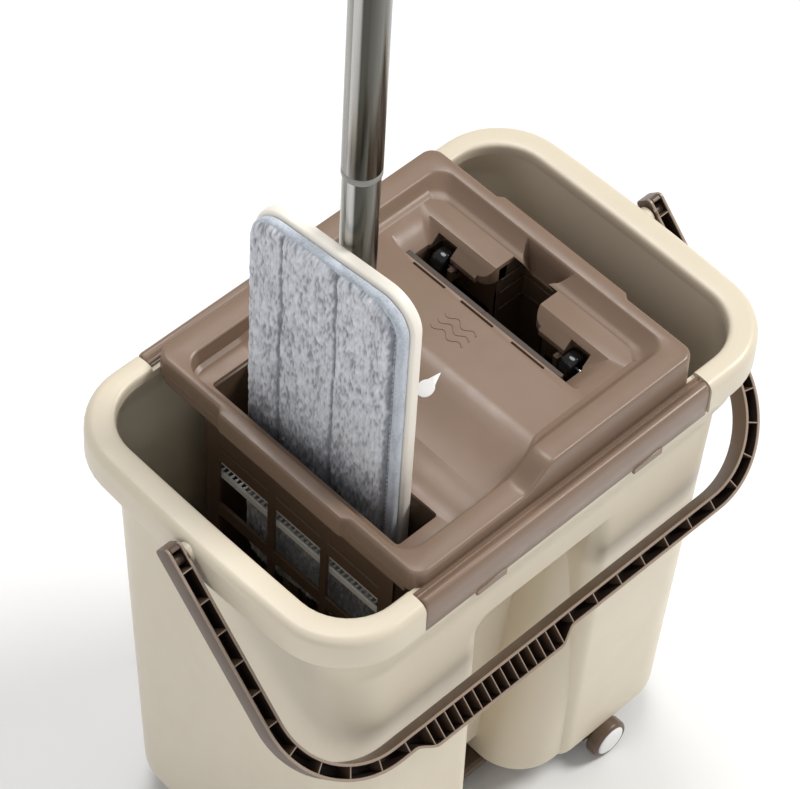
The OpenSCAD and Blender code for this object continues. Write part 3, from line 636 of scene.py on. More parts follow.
def build_frame(s):
    """The raised frame: outer wall, rounded crest, inner wall and the fillet down to the deck."""
    rows = [
        (0, 0, 0, 9, 9, 0, 3.2), (0.4, 0.4, 0.3, 9, 9, -3.0, 3.2), (0.7, 0.7, 0.6, 9, 9, -1.3, 3.2),
        (1.4, 1.4, 1.3, 9, 9, -0.4, 3.2), (2.6, 2.6, 2.5, 8.4, 8.4, -0.05, 2.8),
        (4.2, 4.5, 8.0, 8, 9, 0.1, 1.0), (5.4, 8.6, 15.4, 13, 10, 0, 0), (6.3, 9.6, 16.6, 14, 11, -0.4, 0),
        (7.0, 10.4, 17.4, 14, 11.5, -1.3, 0),
    ]
    rings = [frame_ring(*row) for row in rows]
    rings[0][:, 2] = np.where(abs(rings[0][:, 1]) < FRAME_Y - 1, 393.0, 397.5)
    top = rings[-1]
    steps = ((0.35, 0.0), (0.7, 0.0), (0.9, 0.5), (1.0, 0.9), (1.12, 0.0))
    s.loft(rings + [inner_ring(top, t, lift) for t, lift in steps])


def wrap_strip(s, side):
    """The lip that folds over the bucket's long wall: a sweep of its section along X."""
    section = [
        (123.9, 373.2), (124.6, 372.6), (125.6, 372.7), (126.1, 373.6), (126.2, 386.0), (126.1, 393.5),
        (125.7, 396.6), (124.8, 398.9), (123.4, 400.1), (121.8, 400.4), (120.2, 399.9), (118.9, 398.9),
        (118.0, 398.0), (117.2, 397.7), (116.4, 397.9), (115.9, 398.9), (115.4, 399.5), (114.9, 399.3),
        (114.5, 398.4), (113.6, 398.2)]
    ends = [(0, 1.5), (0.3, 0.7), (1.0, 0.25), (2.4, 0)]
    stations = [(COVER[0] + d, ease) for d, ease in ends] + [(x, 0) for x in (-60, 0, 60)]
    stations += [(COVER[1] - d, ease) for d, ease in ends[::-1]]
    rings = []
    for x, ease in stations:
        rings.append([(x, side * (y - ease if y > 121 else y), z - ease * (0.9 if z > 390 else 0))
                      for y, z in section])
    s.loft(rings, closed=False, flip=side > 0)
    for x, points, forward in ((COVER[0], rings[0], side < 0), (COVER[1], rings[-1], side > 0)):
        face = points + [(x, side * y, z) for y, z in ((112.5, 396.0), (123.0, 396.0), (123.8, 394.0))]
        s.add(face, [list(range(len(face)))[:: 1 if forward else -1]])
    for x in (-79.5, 53.5):
        s.box((x, side * 125.4 - 1.3, 368.6), (x + 25, side * 125.4 + 1.0, 375), 0.9)


def build_moulding():
    s = Shape()
    build_frame(s)
    for side in (-1, 1):
        wrap_strip(s, side)
    # end walls that drop inside the bucket
    s.box((-119, -104, 388), (-116.4, 104, 398), 0.8)
    s.box((112.4, -104, 372), (115, 104, 412), 0.8)
    s.make("cover_moulding", "insert_plastic", "cover", ["insert_frame"], 36)


def cutter(name, rings):
    """A closed solid to cut with, which carve() takes away again."""
    s = Shape()
    s.loft(rings, (True, True))
    mesh = bpy.data.meshes.new(name)
    mesh.from_pydata([tuple(v) for v in np.vstack(s.verts) * MM], [], s.faces)
    o = bpy.data.objects.new(name, mesh)
    bpy.context.collection.objects.link(o)
    return o


def prism(x0, x1, yh, ra, rb, z0, z1, y=0.0):
    """The rings of an upright rounded box, its middle shifted by y."""
    rings = [ring(x0, x1, yh, ra, rb, z, arc=6, span=4) for z in (z0, z1)]
    for p in rings:
        p[:, 1] += y
    return rings


def carve(o, cutters):
    """Cuts the solids out of o."""
    bpy.context.view_layer.objects.active = o
    for c in cutters:
        m = o.modifiers.new("cut", "BOOLEAN")
        m.object = c
        m.solver = "EXACT"
        m.operation = "DIFFERENCE"
        bpy.ops.object.modifier_apply(modifier=m.name)
        bpy.data.objects.remove(c, do_unlink=True)


def deck_slab():
    """The floor inside the frame before it is cut: thick under the plateau, thin elsewhere."""
    xs = [-112.5, -90, -66, -64, -62, -59, -56, -52, -48, -43, -38, -33, -28, -23, -18, -13.5, -9,
          -5.5, -2, -0.4, 1.2, 3, 38, 39.5, 86, 87.5, 100.5]
    top = np.interp(xs, *zip(*DECK))
    under = [401.6 if 39 < x < 87 else z - 2.6 for x, z in zip(xs, top)]
    n, reach = len(xs), 98
    verts = [[(x, -reach, z), (x, reach, z)] for level in (top, under) for x, z in zip(xs, level)]
    faces = []
    for i in range(n - 1):
        a, b = 2 * i, 2 * i + 2
        faces.append([a, b, b + 1, a + 1])
        faces.append([2 * n + a + 1, 2 * n + b + 1, 2 * n + b, 2 * n + a])
        faces.append([a, 2 * n + a, 2 * n + b, b])
        faces.append([a + 1, b + 1, 2 * n + b + 1, 2 * n + a + 1])
    faces.append([0, 1, 2 * n + 1, 2 * n])
    faces.append([2 * n - 2, 4 * n - 2, 4 * n - 1, 2 * n - 1])
    s = Shape()
    s.add(verts, faces)
    return s


def build_deck():
    """The deck with its two slots, their pole notches, the funnel, roller bays and slits."""
    o = deck_slab().make("cover_deck", "insert_plastic", "cover")
    funnel = [ring(45.2, 67.4 + t * 10, 67 + t * 14, 3 + t, 3 + 2 * t, 405 + t * 10, arc=6, span=4)
              for t in (-0.25, 0.5, 1.0, 1.02)]
    low, high = 380, 430
    funnel[3][:, 2] = 416
    mouth = []
    quarter = np.radians(range(0, 91, 15))
    for z in (low, high):
        half = [(60, 27.5)] + [(78.5 - 8.5 * math.cos(t), 27.5 - 8.5 * math.sin(t)) for t in quarter]
        half += [(93 + 11 * math.sin(t), 8 + 11 * math.cos(t)) for t in quarter]
        mouth.append(np.array([(x, y, z) for x, y in half[::-1]] + [(x, -y, z) for x, y in half]))
    cuts = [
        cutter("wash_slot", prism(-102, -69, 81, 2.5, 2.5, low, high)),
        cutter("wash_notch", prism(-75, -42, 20.5, 3, 7, low, high)),
        cutter("dry_funnel", funnel),
        cutter("dry_slot", prism(48, 68.0, 67, 2.5, 3, low, high)),
        cutter("dry_notch", mouth),
    ]
    cuts += [cutter(f"bay{k}", prism(56, 79, 8.2, 3, 3, low, 411.5, y)) for k, y in enumerate((-57.5, 57.5))]
    for k, y in enumerate((-42, 1.5, 43)):
        cuts.append(cutter(f"slit{k}", prism(42.1, 43.9, 14, 0.6, 0.6, 408, high, y)))
    carve(o, cuts)
    bevel = o.modifiers.new("soften", "BEVEL")
    bevel.width = 0.0008
    bevel.segments = 3
    bevel.limit_method = "ANGLE"
    bevel.angle_limit = math.radians(38)
    bpy.ops.object.modifier_apply(modifier=bevel.name)
    o.data.polygons.foreach_set("use_smooth", [True] * len(o.data.polygons))
    o.data.set_sharp_from_angle(angle=math.radians(40))


build_moulding()
build_deck()


# ---------------------------- carry handle

PIVOT = np.array((0.0, 0.0, PIVOT_Z))
DROP = math.radians(46)
IN_PLANE = np.array([(1, 0, 0), (0, -math.cos(DROP), -math.sin(DROP)),
                     (0, -math.sin(DROP), math.cos(DROP))]).T
ARM_X, REACH, BEND = 202.8, 179.0, 62.0
GRIP = (-117.0, -4.0)
BAR_HALF, BAR_TOP, POCKET_FLOOR, POCKET_LID = 5.5, 8.0, -5.8, 7.7
RIB_STEP, GRIP_RIBS = 21.5, 15


def in_handle(x, y, up):
    """A point of the handle's own plane, in the part's frame."""
    return IN_PLANE @ np.array((x, y, up)) + PIVOT


def handle_stations():
    """(centre, outward) points along the handle in its own plane, from the wash arm to the dry arm."""
    left = -ARM_X + BEND
    points = [(-ARM_X, rho, -1, 0) for rho in np.linspace(-5, REACH - BEND, 22)]
    for t in np.radians(np.linspace(0, 90, 25)[1:]):
        u, v = -math.cos(t), math.sin(t)
        points.append((left + BEND * u, REACH - BEND + BEND * v, u, v))
    points += [(x, REACH, 0, 1) for x in np.linspace(left, 0, 71)[1:]]
    return points + [(-x, y, -u, v) for x, y, u, v in points[::-1]][1:]


def tray_section(half, floor):
    """The bar's section (outward, up): a tray whose pocket is open at the top."""
    top, low, r, wall, lip = BAR_TOP, -8.0, 1.6, 1.9, 0.5
    inner = half - wall
    right = [(half - r, low), (half - 0.45 * r, low + 0.15 * r), (half - 0.15 * r, low + 0.45 * r),
             (half, low + r), (half, top - lip), (half - 0.15 * lip, top - 0.4 * lip),
             (half - 0.5 * lip, top), (inner + 0.35, top), (inner + 0.05, top - 0.3), (inner, top - 0.7),
             (inner - 0.2, floor + 0.8), (inner - 0.9, floor)]
    left = [(-d, up) for d, up in right[::-1]]
    return np.array(left[-1:] + right + left[:-1])


def grip_shape(x, y, outward):
    """Half depth and outward offset: the hand hold is deeper and swells outwards."""
    if y < REACH - 1 or outward < 0.99:
        return BAR_HALF, 0.0
    t = smooth_step((x - GRIP[0] + 12) / 16) * smooth_step((GRIP[1] + 12 - x) / 16)
    return BAR_HALF + 3.5 * t, 3.6 * t


def bar_ring(x, y, u, v):
    half, offset = grip_shape(x, y, v)
    return np.array([in_handle(x + u * (offset + d), y + v * (offset + d), up)
                     for d, up in tray_section(half, POCKET_FLOOR)])


def arm_end(x, y, u):
    """The rings that close an arm with a rounded end, from its tip inwards."""
    rings = []
    for back, height, closed in ((5.2, 0.62, True), (4.9, 0.78, True), (3.9, 0.93, True), (2.3, 1.0, True),
                                 (2.0, 1.0, True), (1.9, 1.0, False)):
        width = 0.86 + 0.14 * min(1, height + 0.05) if closed else 1.0
        section = tray_section(BAR_HALF, POCKET_LID if closed else POCKET_FLOOR) * (width, height)
        rings.append(np.array([in_handle(x + u * d, y - back, up) for d, up in section]))
    return rings


def add_rib(s, x, y, u, v):
    """One thin wall across the pocket, with a narrow crown that build_handle gives a painted highlight."""
    half, offset = grip_shape(x, y, v)
    reach, crown = half - 1.6, 7.5
    along = np.array((-v, u)) * 0.6
    base = np.array((x + u * offset, y + v * offset))
    verts = []
    for up, thin in ((-6.2, 1.25), (crown - 0.4, 1.0), (crown, 0.5)):
        for d, w in ((-reach, -1), (reach, -1), (reach, 1), (-reach, 1)):
            verts.append(in_handle(*(base + np.array((u, v)) * d + along * w * thin), up))
    faces = [[0, 3, 2, 1], [8, 9, 10, 11]]
    for j in (0, 4):
        faces += [[j + i, j + (i + 1) % 4, j + 4 + (i + 1) % 4, j + 4 + i] for i in range(4)]
    s.add(verts, faces)


def rib_stations(stations):
    """Where the ribs stand: evenly along the bar, and close together in the hand hold."""
    points = np.array(stations)
    walked = np.r_[0.0, np.cumsum(np.linalg.norm(np.diff(points[:, :2], axis=0), axis=1))]
    straight = points[:, 3] > 0.99
    grip = [np.interp(x, points[straight, 0], walked[straight]) for x in GRIP]
    marks = np.r_[np.arange(12, grip[0] - 6, RIB_STEP), np.linspace(grip[0] + 1, grip[1] - 1, GRIP_RIBS),
                  np.arange(grip[1] + 12, walked[-1] - 8, RIB_STEP)]
    return [[np.interp(mark, walked, points[:, i]) for i in range(4)] for mark in marks]


def build_handle():
    stations = handle_stations()
    ends = arm_end(*stations[0][:3]), arm_end(*stations[-1][:3])[::-1]
    rings = ends[0] + [bar_ring(*p) for p in stations] + ends[1]
    s = Shape()
    s.loft(rings, (True, True))
    corners, closing = len(rings[0]), len(ends[0])
    skin = [(k, k % corners) for k in range((len(rings) - 1) * corners)]
    opened = range(corners * (closing - 1), (len(rings) - closing) * corners)
    # the pocket's walls and floor get painted shade, the rims and the ribs' crowns a painted highlight
    pocket = [k for k, i in skin if 10 <= i <= 14 and k in opened]
    highlight_faces = [k for k, i in skin if 5 <= i <= 9 or 15 <= i <= 19]
    for place in rib_stations(stations):
        highlight_faces.append(len(s.faces) + 1)
        add_rib(s, *place)
    # collars behind the arms' ends
    for side in (-1, 1):
        s.turn([(8.2, 0), (8.2, 1.2), (7.8, 1.6)], (side * 196.9, 0, PIVOT_Z), (side, 0, 0), flip=side > 0)
    s.make("carry_bail", "dark_plastic", "handle", ["carry_handle"], 30,
           paint=[("pocket_shade", pocket), ("painted_highlight_edge", highlight_faces)])
    pin = [(0, -9), (3.9, -9), (3.9, 13.6), (3.4, 14.1), (0, 14.2)]
    for side, name in ((-1, "wash"), (1, "dry")):
        turned(f"bail_pin_{name}", "dark_plastic", "bucket", f"handle_pin_{name}", pin,
               (side * PIVOT_X, 0, PIVOT_Z), (side, 0, 0))


build_handle()

# ---------------------------- wheels, feet, brace


def build_wheel(side, name):
    centre, axis = (94, side * 101, 15), (0, side, 0)
    tyre = [(2.6, 0), (13.4, 0), (15.0, 1.6), (15.0, 9.0), (13.6, 10.8), (11.9, 11.0), (11.9, 7.2),
            (2.6, 7.0)]
    dome = [(11.85, 8.0), (11.8, 10.4)]
    dome += [(11.5 * math.cos(a), 10.6 + 2.0 * math.sin(a)) for a in np.radians(range(0, 91, 9))]
    body = f"{name}_wheel"
    turned(f"tyre_{name}", "dark_plastic", body, f"wheel_{name}", rounded(tyre, 0.9), centre, axis, 56)
    turned(f"hub_cap_{name}", "white_plastic", body, f"wheel_cap_{name}", dome, centre, axis, 56)


def build_underside():
    """Rubber feet at the wash end, and the ribbed brace that carries the wheels."""
    s = Shape()
    foot = rounded([(0, 0), (11.4, 0), (12, 0.7), (12, 5), (10.6, 7), (10.6, 23)], 0.8)
    for y in (-66, 66):
        s.turn(foot, (-118, y, 0))
    s.make("floor_feet", "foot_rubber", "bucket", ["rest_feet"])
    s = Shape()
    s.box((-96, -66, 14), (122, 66, 24.6), 2.0)
    s.box((80, -97.6, 8), (108, 97.6, 24.6), 3.0)
    for y in (-40, 0, 40):
        s.box((-92, y - 1.4, 12.4), (118, y + 1.4, 15), 0.5)
    s.make("foot_brace", "dark_plastic", "bucket", ["base_brace"])


for side, name in ((-1, "near"), (1, "far")):
    build_wheel(side, name)
build_underside()

# ---------------------------- wells, brushes, blade, rollers

WASH_Y, DRY_Y, SHEET = 82.4, 69.4, 2.4
BRISTLE = [(0.9, 0), (0.7, 3.2), (0.4, 3.5)]


def rung_wall(s, x, reach, z0, z1, gap_z=math.inf, gap_y=21.5):
    """One wall of a well as a ladder: posts, and bars between the windows.

    Above gap_z it is open in the middle, so that the pole's foot can pass."""
    for a, b in ((-reach, 12 - reach), (reach - 12, reach)):
        s.box((x, a, z0), (x + SHEET, b, z1), 0.5)
    third = (2 * reach - 24) / 3
    post = max(third / 2, (gap_y + 3 if gap_z < z1 else 0))
    for y in (-post, post):
        s.box((x, y - 3, z0), (x + SHEET, y + 3, z1), 0.5)
    bars = [(z, z + 12) for z in [z0 + 3] + list(np.arange(z0 + 64, z1 - 20, 56))] + [(z1 - 46, z1 - 0.3)]
    inner = reach - 4
    for low, high in bars:
        for a, b in [(-inner, inner)] if high < gap_z else [(-inner, -gap_y), (gap_y, inner)]:
            s.box((x + 0.1, a, low), (x + SHEET - 0.1, b, high), 0.5)


def build_wash_shaft():
    s = Shape()
    rung_wall(s, -105.4, WASH_Y, 44, 391)
    rung_wall(s, -68, WASH_Y, 44, 391, gap_z=198)
    for y in (-WASH_Y, WASH_Y - SHEET):
        s.box((-105.2, y, 44), (-66, y + SHEET, 391), 0.5)
    s.box((-104.5, -81, 44.2), (-66.5, 81, 46.6), 0.5)
    # the pole's notch, and the flange round the top
    for side in (-1, 1):
        s.box((-66, side * 22.2 - 1.2, 314), (-36, side * 22.2 + 1.2, 391), 0.5)
    s.box((-36, -23.4, 314), (-33.6, 23.4, 391), 0.5)
    s.box((-111.8, -88.8, 388.5), (-103, 88.8, 391.4), 0.6)
    for y in (-88.8, 80.2):
        s.box((-111.8, y, 388.4), (-59.2, y + 8.6, 391.4), 0.6)
    s.make("wash_shaft", "dark_plastic", "cover", ["wash_well"])


def build_dry_shaft():
    s = Shape()
    rung_wall(s, 53.2, DRY_Y, 70, 392)
    rung_wall(s, 80, DRY_Y, 70, 392, gap_z=240, gap_y=19.2)
    for y in (-DRY_Y, DRY_Y - SHEET):
        s.box((53.3, y, 70), (82.3, y + SHEET, 401.8), 0.5)
    s.box((53.6, -69, 70.2), (82, 69, 72.6), 0.5)
    s.box((45.6, -DRY_Y, 314), (48.0, DRY_Y, 401.8), 0.4)
    for side in (-1, 1):
        s.box((80, side * 20.2 - 1.2, 250), (106.4, side * 20.2 + 1.2, 412), 0.5)
        s.box((79.8, side * 44 - 23.6, 386), (82.2, side * 44 + 23.6, 402), 0.4)
        s.box((64, side * 46 - 2, 389), (80.5, side * 46 + 2, 400.6), 1.2)
    s.box((104, -21.4, 250), (106.4, 21.4, 412), 0.5)
    # ledges round the notch's walls
    for z in (372, 388, 400):
        s.box((82, -18.9, z), (104.1, -17.7, z + 2), 0.4)
        s.box((82, 17.7, z), (104.1, 18.9, z + 2), 0.4)
        s.box((102.7, -18.5, z), (104.1, 18.5, z + 2), 0.4)
    s.make("dry_shaft", "dark_plastic", "cover", ["dry_well"])


def build_bristles():
    s = Shape()
    for z in (340, 326, 312):
        s.box((-103.0, -78, z), (-101.4, 78, z + 6), 0.5)
        for y in np.arange(-74, 75, 4.0):
            for dy, dz in ((0, 1.6), (2.0, 4.4)):
                s.turn(BRISTLE, (-101.6, y + dy, z + dz), (1, 0.0, 0.05), 8, (False, True))
    s.make("bristle_rows", "white_plastic", "cover", ["wash_brushes"])


def build_blade():
    s = Shape()
    s.box((45.2, -66.6, 401.9), (49.4, -0.01, 414.3), 0.7)
    s.box((45.2, 0.01, 401.9), (49.4, 66.6, 414.3), 0.7)
    s.box((48, -66, 382), (49.4, 66, 403), 0.5)
    lip = [(49.2, 398.4), (51.4, 396.0), (53.0, 392.4), (51.6, 391.6), (49.2, 390.2)]
    s.loft([[(x, y, z) for x, z in lip] for y in (-60.6, -60, 60, 60.6)], (True, True), flip=True)
    s.make("squeeze_blade", "blade_rubber", "cover", ["scraper_blade"])


def build_roller(side, name):
    half = [(2.0, 5), (5.4, 5), (7.3, 4.7), (8.1, 4.0), (8.5, 2.9)]
    barrel = [(r, -a) for r, a in half] + half[::-1]
    y0, y1 = sorted((side * 43.4, side * 70.6))
    axle = [(0, y0), (1.3, y0), (1.5, y0 + 0.3), (1.5, y1 - 0.3), (1.3, y1), (0, y1)]
    turned(f"barrel_roller_{name}", "black_plastic", f"{name}_roller", f"roller_{name}", barrel,
           (69, side * 56, 397), (0, 1, 0), 40)
    turned(f"roller_axle_{name}", "steel", "cover", f"roller_pin_{name}", axle, (69, 0, 397), (0, 1, 0), 24)


build_wash_shaft()
build_dry_shaft()
build_bristles()
build_blade()
for side, name in ((-1, "near"), (1, "far")):
    build_roller(side, name)

# ---------------------------- marks on the cover

DROP_AT, DROP_R, WAVE_LENGTH = (-15.5, -16), 5.6, 26


def build_marks():
    """A white drop on the ramp and three moulded waves on the plateau."""
    arc = np.radians(np.arange(35, 326, 10))
    outline = [(-17 + DROP_R * math.cos(a), DROP_AT[1] + DROP_R * math.sin(a)) for a in arc]
    outline += [(-8.5, -17.6), (-5.2, -16.4), (-4.6, -16), (-5.2, -15.6), (-8.5, -14.4)]
    rings = []
    for scale, up in ((1.0, -0.3), (1.0, 0.25), (0.95, 0.42)):
        flat = np.array(DROP_AT) + (np.array(outline) - DROP_AT) * scale
        rings.append([(x, y, deck(x) + up) for x, y in flat])
    s = Shape()
    s.loft(rings, (False, True))
    s.make("drop_mark", "white_plastic", "cover", ["wash_icon"])
    s = Shape()
    for k in (-1, 0, 1):
        along = np.arange(0, WAVE_LENGTH + 0.1, 0.8)
        path = [(24 + 6.2 * k + 1.9 * math.sin(t / WAVE_LENGTH * 4 * math.pi), t - 11) for t in along]
        edges = ((-0.85, -0.2), (-0.6, 0.42), (0.6, 0.42), (0.85, -0.2))
        s.loft([[(x + dx, y, PLATEAU + up) for x, y in path] for dx, up in edges], closed=False, flip=True)
    s.make("wave_mark", "insert_plastic", "cover", ["dry_icon"])


build_marks()

# ---------------------------- mop head

# the mop's own frame: origin on the hinge, the plate standing across X
MOP = Matrix.Translation(Vector((-POLE_X * MM, 0, 407 * MM))) @ Matrix.Rotation(math.radians(4), 4, "Z")
FRONT, BACK = -20.5, -12.0
PILE_HALF_Y, PILE_HALF_Z, PILE_R, PILE_Y = 55.4, 161.6, 21.0, 3.2
PILE_GRID = (150, 404)


def standing(half_z, half_y, r, x, arc=12, span=12):
    """A rounded rectangle standing across X, anticlockwise seen from +X."""
    p = ring(-half_z, half_z, half_y, r, r, 0.0, arc=arc, span=span)
    return np.column_stack([np.full(len(p), x), p[:, 1], p[:, 0]])


def build_plate():
    s = Shape()
    profile = [(FRONT, 2.2), (FRONT + 0.25, 1.2), (FRONT + 0.9, 0.4), (FRONT + 2.0, 0), (BACK - 2.0, 0),
               (BACK - 0.9, 0.35), (BACK - 0.25, 1.1), (BACK, 2.0), (BACK, 3.6), (BACK - 0.5, 4.2),
               (BACK - 5.5, 4.6)]
    s.loft([standing(165 - i, 61 - i, 24 - i * 0.8, x) for x, i in profile][::-1], (True, True))
    for z in np.arange(-120, 121, 40):
        for a, b in ((-57, -26), (26, 57)) if abs(z) < 25 else ((-57, 57),):
            s.box((BACK - 5.6, a, z - 1.2), (BACK - 0.6, b, z + 1.2), 0.4)
    for y in (-28, 28):
        s.box((BACK - 5.6, y - 1.2, -160), (BACK - 0.7, y + 1.2, 160), 0.4)
    seat = [(19, -5.6), (26, -5.6), (26, -0.9), (25.4, -0.4), (19.6, -0.4), (19.0, -0.9), (18.9, -2.4),
            (4, -2.4)]
    s.turn(seat, (BACK, 0, 0), (1, 0, 0), 64)
    s.make("mop_board", "plate_plastic", "mop_head", ["mop_plate"], 32, MOP)
    s = Shape()
    for y in (-40, 40):
        s.box((FRONT - 0.55, y - 10, -148), (FRONT + 0.2, y + 10, 148), 0.25)
    s.make("hook_strips", "strip_fabric", "mop_head", ["grip_strips"], 32, MOP)


def field(sizes):
    """Smooth random heights on the pile's grid, with feature sizes along both axes in millimetres."""
    ny, nz = PILE_GRID
    raw = np.fft.rfft2(rng.standard_normal(PILE_GRID))
    fy = np.fft.fftfreq(ny, 2 * PILE_HALF_Y / ny)[:, None]
    fz = np.fft.rfftfreq(nz, 2 * PILE_HALF_Z / nz)[None, :]
    raw *= np.exp(-((fy * sizes[0]) ** 2 + (fz * sizes[1]) ** 2) * 3.0)
    out = np.fft.irfft2(raw, PILE_GRID)
    return out / out.std()


def outline_depth(y, z):
    """How far inside the pile's rounded outline a point lies, negative outside."""
    dy, dz = np.abs(y) - (PILE_HALF_Y - PILE_R), np.abs(z) - (PILE_HALF_Z - PILE_R)
    outside = np.hypot(np.maximum(dy, 0), np.maximum(dz, 0)) + np.minimum(np.maximum(dy, dz), 0)
    return PILE_R - outside


def pile_grid():
    """A grid over the pile, its corners squeezed onto the rounded outline."""
    ny, nz = PILE_GRID
    y = np.linspace(-PILE_HALF_Y, PILE_HALF_Y, ny)[:, None] * np.ones((1, nz))
    z = np.linspace(-PILE_HALF_Z, PILE_HALF_Z, nz)[None, :] * np.ones((ny, 1))
    for _ in range(6):
        out = outline_depth(y, z) < 0
        cy, cz = np.sign(y) * (PILE_HALF_Y - PILE_R), np.sign(z) * (PILE_HALF_Z - PILE_R)
        length = np.maximum(np.hypot(y - cy, z - cz), 1e-6)
        y = np.where(out, cy + (y - cy) * PILE_R / length, y)
        z = np.where(out, cz + (z - cz) * PILE_R / length, z)
    return y, z


def build_pile():
    """The microfibre pile: tufts over a crowned pad with two sewn channels, damp at its lower end; its shade
    attribute carries painted light and shade.
    """
    y, z = pile_grid()
    depth = np.maximum(outline_depth(y, z), 0)
    crown = np.sqrt(np.maximum(0, 1 - (1 - np.minimum(depth / 5.0, 1)) ** 2))
    tufts = field((1.5, 4.2))
    strands = field((0.5, 3.0))
    clumps = field((6.0, 16.0))
    grooves = np.zeros_like(y)
    for k, line in enumerate((32.0, -10.0)):
        wander = 0.5 * np.sin(z / 23 + k) + 0.25 * np.sin(z / 9.1 + 2 * k)
        grooves += np.exp(-((y + PILE_Y - line - wander) / 1.25) ** 2)
    seam = np.exp(-((y + PILE_Y + 51.0) / 1.2) ** 2) * (z < 150)
    height = (6.0 + 0.26 * tufts + 0.22 * strands + 0.16 * clumps - 1.9 * grooves - 1.4 * seam) * crown
    x = -23.4 - np.clip(height, 0.0, 7.2)
    ny, nz = PILE_GRID
    faces = []
    for i in range(ny - 1):
        row = i * nz
        faces += [[row + nz + j, row + nz + j + 1, row + j + 1, row + j] for j in range(nz - 1)]
    s = Shape()
    s.add(np.column_stack([x.ravel(), (y + PILE_Y).ravel(), z.ravel()]), faces)
    o = s.make("pad_tufts", "pad_pile", "mop_head", ["pad_pile"], 180, MOP)
    damp = 1 / (1 + np.exp((z - (-4 + 4.8 * clumps + 0.16 * (y + 20))) / 9))
    # painted shade in the sewn channels, at the seam and in the dips between tufts, painted light on the
    # tufts' tops; the damp lower end is darker as wet cloth is
    shade = 0.54 + 0.08 * tufts + 0.10 * strands + 0.045 * clumps - 0.42 * grooves - 0.42 * seam
    shade = np.clip(shade * (1 - 0.40 * damp), 0, 1)
    flat = np.repeat(shade.ravel()[:, None], 4, 1)
    flat[:, 3] = 1
    colour = o.data.color_attributes.new("shade", "FLOAT_COLOR", "POINT")
    colour.data.foreach_set("color", flat.ravel())


def build_tape():
    """The folded tape sewn round the pad's edge, slightly rippled."""
    wrap = [(-20.6, 4.5), (-20.7, 1.2), (-21.3, 0.3), (-22.4, 0), (-24.4, 0.05), (-25.4, 0.4), (-26.2, 1.2),
            (-26.5, 2.4), (-26.3, 4.0), (-25.6, 5.4), (-24.6, 6.2)]
    n = len(standing(163, 59, 22, 0.0, 20, 90))
    ripple = 0.16 * np.convolve(rng.standard_normal(n + 8), np.ones(5) / 5, "same")[4:4 + n]
    rows = []
    for x, inset in wrap:
        p = standing(163 - inset, 59 - inset, 22 - inset * 0.8, x, 20, 90)
        near = np.clip((-p[:, 1] - 40) / 12, 0, 1)
        p[:, 0] -= ripple * 2 * (inset < 6) + (x < -25.5) * near * 1.0
        rows.append(p)
    s = Shape()
    s.loft(rows, flip=True)
    o = s.make("pad_tape", "pad_edge", "mop_head", ["pad_binding", "pad_backing"], 60, MOP)


def build_stitches():
    line = standing(157.4, 53.4, 17, -26.75, 16, 60)
    loop = np.vstack([line, line[:1]])
    length = np.r_[0, np.cumsum(np.linalg.norm(np.diff(loop, axis=0), axis=1))]
    s = Shape()
    for d in np.arange(1, length[-1], 4.2):
        a, b = (np.array([np.interp(at, length, loop[:, i]) for i in range(3)]) for at in (d, d + 2.7))
        if np.linalg.norm(b - a) >= 1:
            thread = [(0.1, 0), (0.3, 0.3), (0.32, 1.3), (0.3, 2.3), (0.1, 2.7)]
            s.turn(thread, a - (0.25, 0, 0), b - a, 6, (True, True))
    s.make("pad_stitches", "pad_edge", "mop_head", (), 60, MOP)


build_plate()
build_pile()
build_tape()
build_stitches()

# ---------------------------- pole and its joint

TUBES = [
    ("steel_lower", "steel", "lower_tube",
     [(9.8, 34), (10.9, 34), (11, 34.3), (11, 221), (11.0, 281.8), (9.8, 282)]),
    ("steel_middle", "steel", "middle_tube",
     [(11.05, 222), (11.6, 222), (11.8, 222.4), (11.8, 639.6), (11.7, 640), (11.05, 640)]),
    ("steel_upper", "steel", "upper_tube", [(9.8, 600), (11, 600), (11, 1155.6), (10.8, 1156), (9.8, 1156)]),
    ("collar_low", "collar_plastic", "lower_collar",
     [(11.0, 217), (11.5, 217), (11.8, 217.5), (11.8, 221.6), (11.6, 221.98), (11.0, 221.98)]),
    ("collar_high", "collar_plastic", "upper_collar",
     [(11.0, 640.02), (11.6, 640.02), (11.8, 640.5), (11.8, 644.5), (11.5, 645), (11.0, 645)]),
]


def grip_profile():
    """The hand grip: a sleeve with rounded ridges."""
    profile = [(11.05, 940), (13.6, 940), (14.5, 941)]
    for z in np.arange(946, 1148, 12):
        ridge = ((14.5, 0), (15.0, 0.5), (15.2, 1.3), (15.2, 2.7), (15.0, 3.5), (14.5, 4))
        profile += [(r, z + up) for r, up in ridge]
    return profile + [(14.5, 1155), (14.0, 1155.9), (11.05, 1155.9)]


def build_hanging_loop():
    s = Shape()
    cap = [(0, 1156.1), (13.6, 1156.1), (14.5, 1157), (14.5, 1164), (13.4, 1166.4), (11, 1167), (0, 1167)]
    s.turn(cap, steps=56)
    eye = []
    for a in np.radians(np.arange(0, 360, 20)):
        width = 5.0 * math.sin(a) * (0.82 + 0.18 * abs(math.cos(2 * a)))
        eye.append((10.1 + 2.6 * math.cos(a), width))
    s.turn(eye + eye[:1], (0, 0, 1173.3), (1, 0, 0), flip=True)
    s.turn([(9.6, 1130), (9.6, 1157)], steps=32)
    s.make("hanging_loop", "dark_plastic", "pole", ["hanging_cap"], 32, MOP)


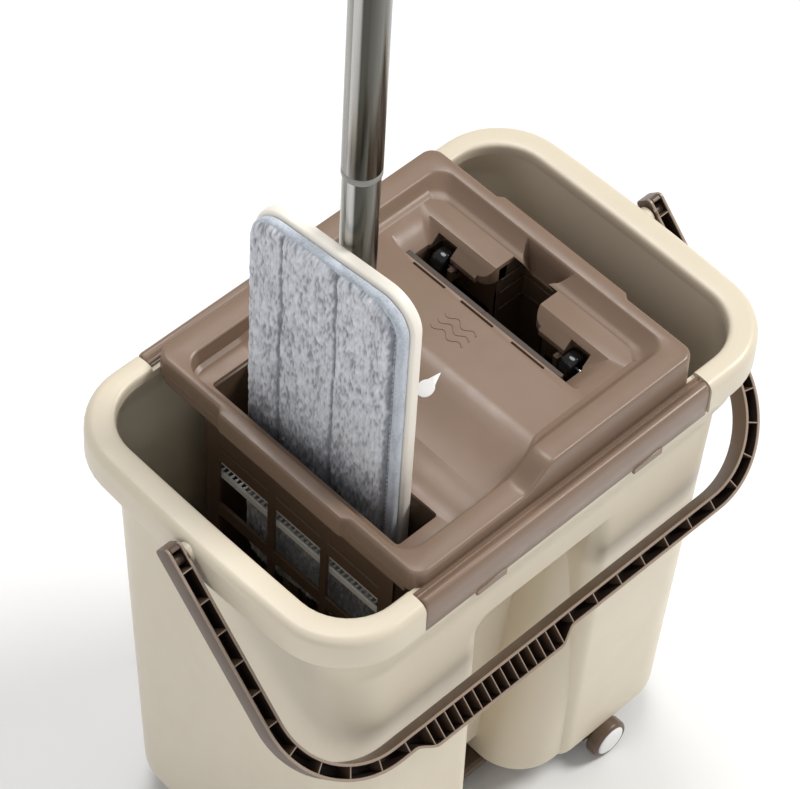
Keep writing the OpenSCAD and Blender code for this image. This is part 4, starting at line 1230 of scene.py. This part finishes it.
def build_yoke():
    s = Shape()
    s.turn(rod(6.5, -8.6, 8.6, 0.5, 3.05), axis=(0, 1, 0), steps=40)
    neck = [ring(-6.5, 6.5, 8.6, 1.4, 1.4, z, arc=5, span=4) for z in (3.6, 17)]
    throat = ring(-8.6, 8.6, 9.6, 6, 6, 19.4, arc=5, span=4)
    s.loft(neck + [throat], (True, False))
    s.turn([(0, 19.0), (10.2, 19.0), (10.9, 19.8), (10.9, 33.9), (9.5, 34.0)])
    s.make("socket_yoke", "dark_plastic", "pole", ["pole_yoke"], 32, MOP)


def build_swivel():
    s = Shape()
    disc = [(0, -12), (17.4, -12), (18, -11.5), (18, -9.9), (17.5, -9.4), (0, -9.4)]
    s.turn(disc, axis=(1, 0, 0), steps=56)
    arc = np.radians(range(-90, 91, 12))
    lug = [(-9.6, -8)] + [(8 * math.cos(a), 8 * math.sin(a)) for a in arc] + [(-9.6, 8)]
    for side in (-1, 1):
        y0, y1 = sorted((side * 9.0, side * 14.0))
        rings = []
        for y, k in ((y0, 0.94), (y0 + 0.5, 1), (y1 - 0.5, 1), (y1, 0.94)):
            rings.append([(x * (k if x > 0 else 1), y, z * k) for x, z in lug])
        s.loft(rings, (True, True), flip=True)
    s.make("swivel_lugs", "dark_plastic", "swivel", ["swivel_base"], 32, MOP)
    turned("hinge_rod", "steel", "swivel", "hinge_pin", rod(3, -15, 15, 0.3), (0, 0, 0), (0, 1, 0), 32, MOP)


for name, slot, node, profile in TUBES + [("hand_grip", "dark_plastic", "pole_grip", grip_profile())]:
    turned(name, slot, "pole", node, profile, steps=72, matrix=MOP)
build_hanging_loop()
build_yoke()
build_swivel()

# ---------------------------- floor and finish

floor = bpy.data.meshes.new("floor")
floor.from_pydata([(-9, -9, 0), (9, -9, 0), (9, 9, 0), (-9, 9, 0)], [], [(0, 1, 2, 3)])
ground = bpy.data.objects.new("floor", floor)
bpy.context.collection.objects.link(ground)
n = Nodes("floor_paper")
tone = n.ramp(n.noise(3, 2), [(0.3, (0.84, 0.84, 0.84)), (0.7, (0.86, 0.86, 0.86))])
floor.materials.append(n.finish(tone, 0.9))
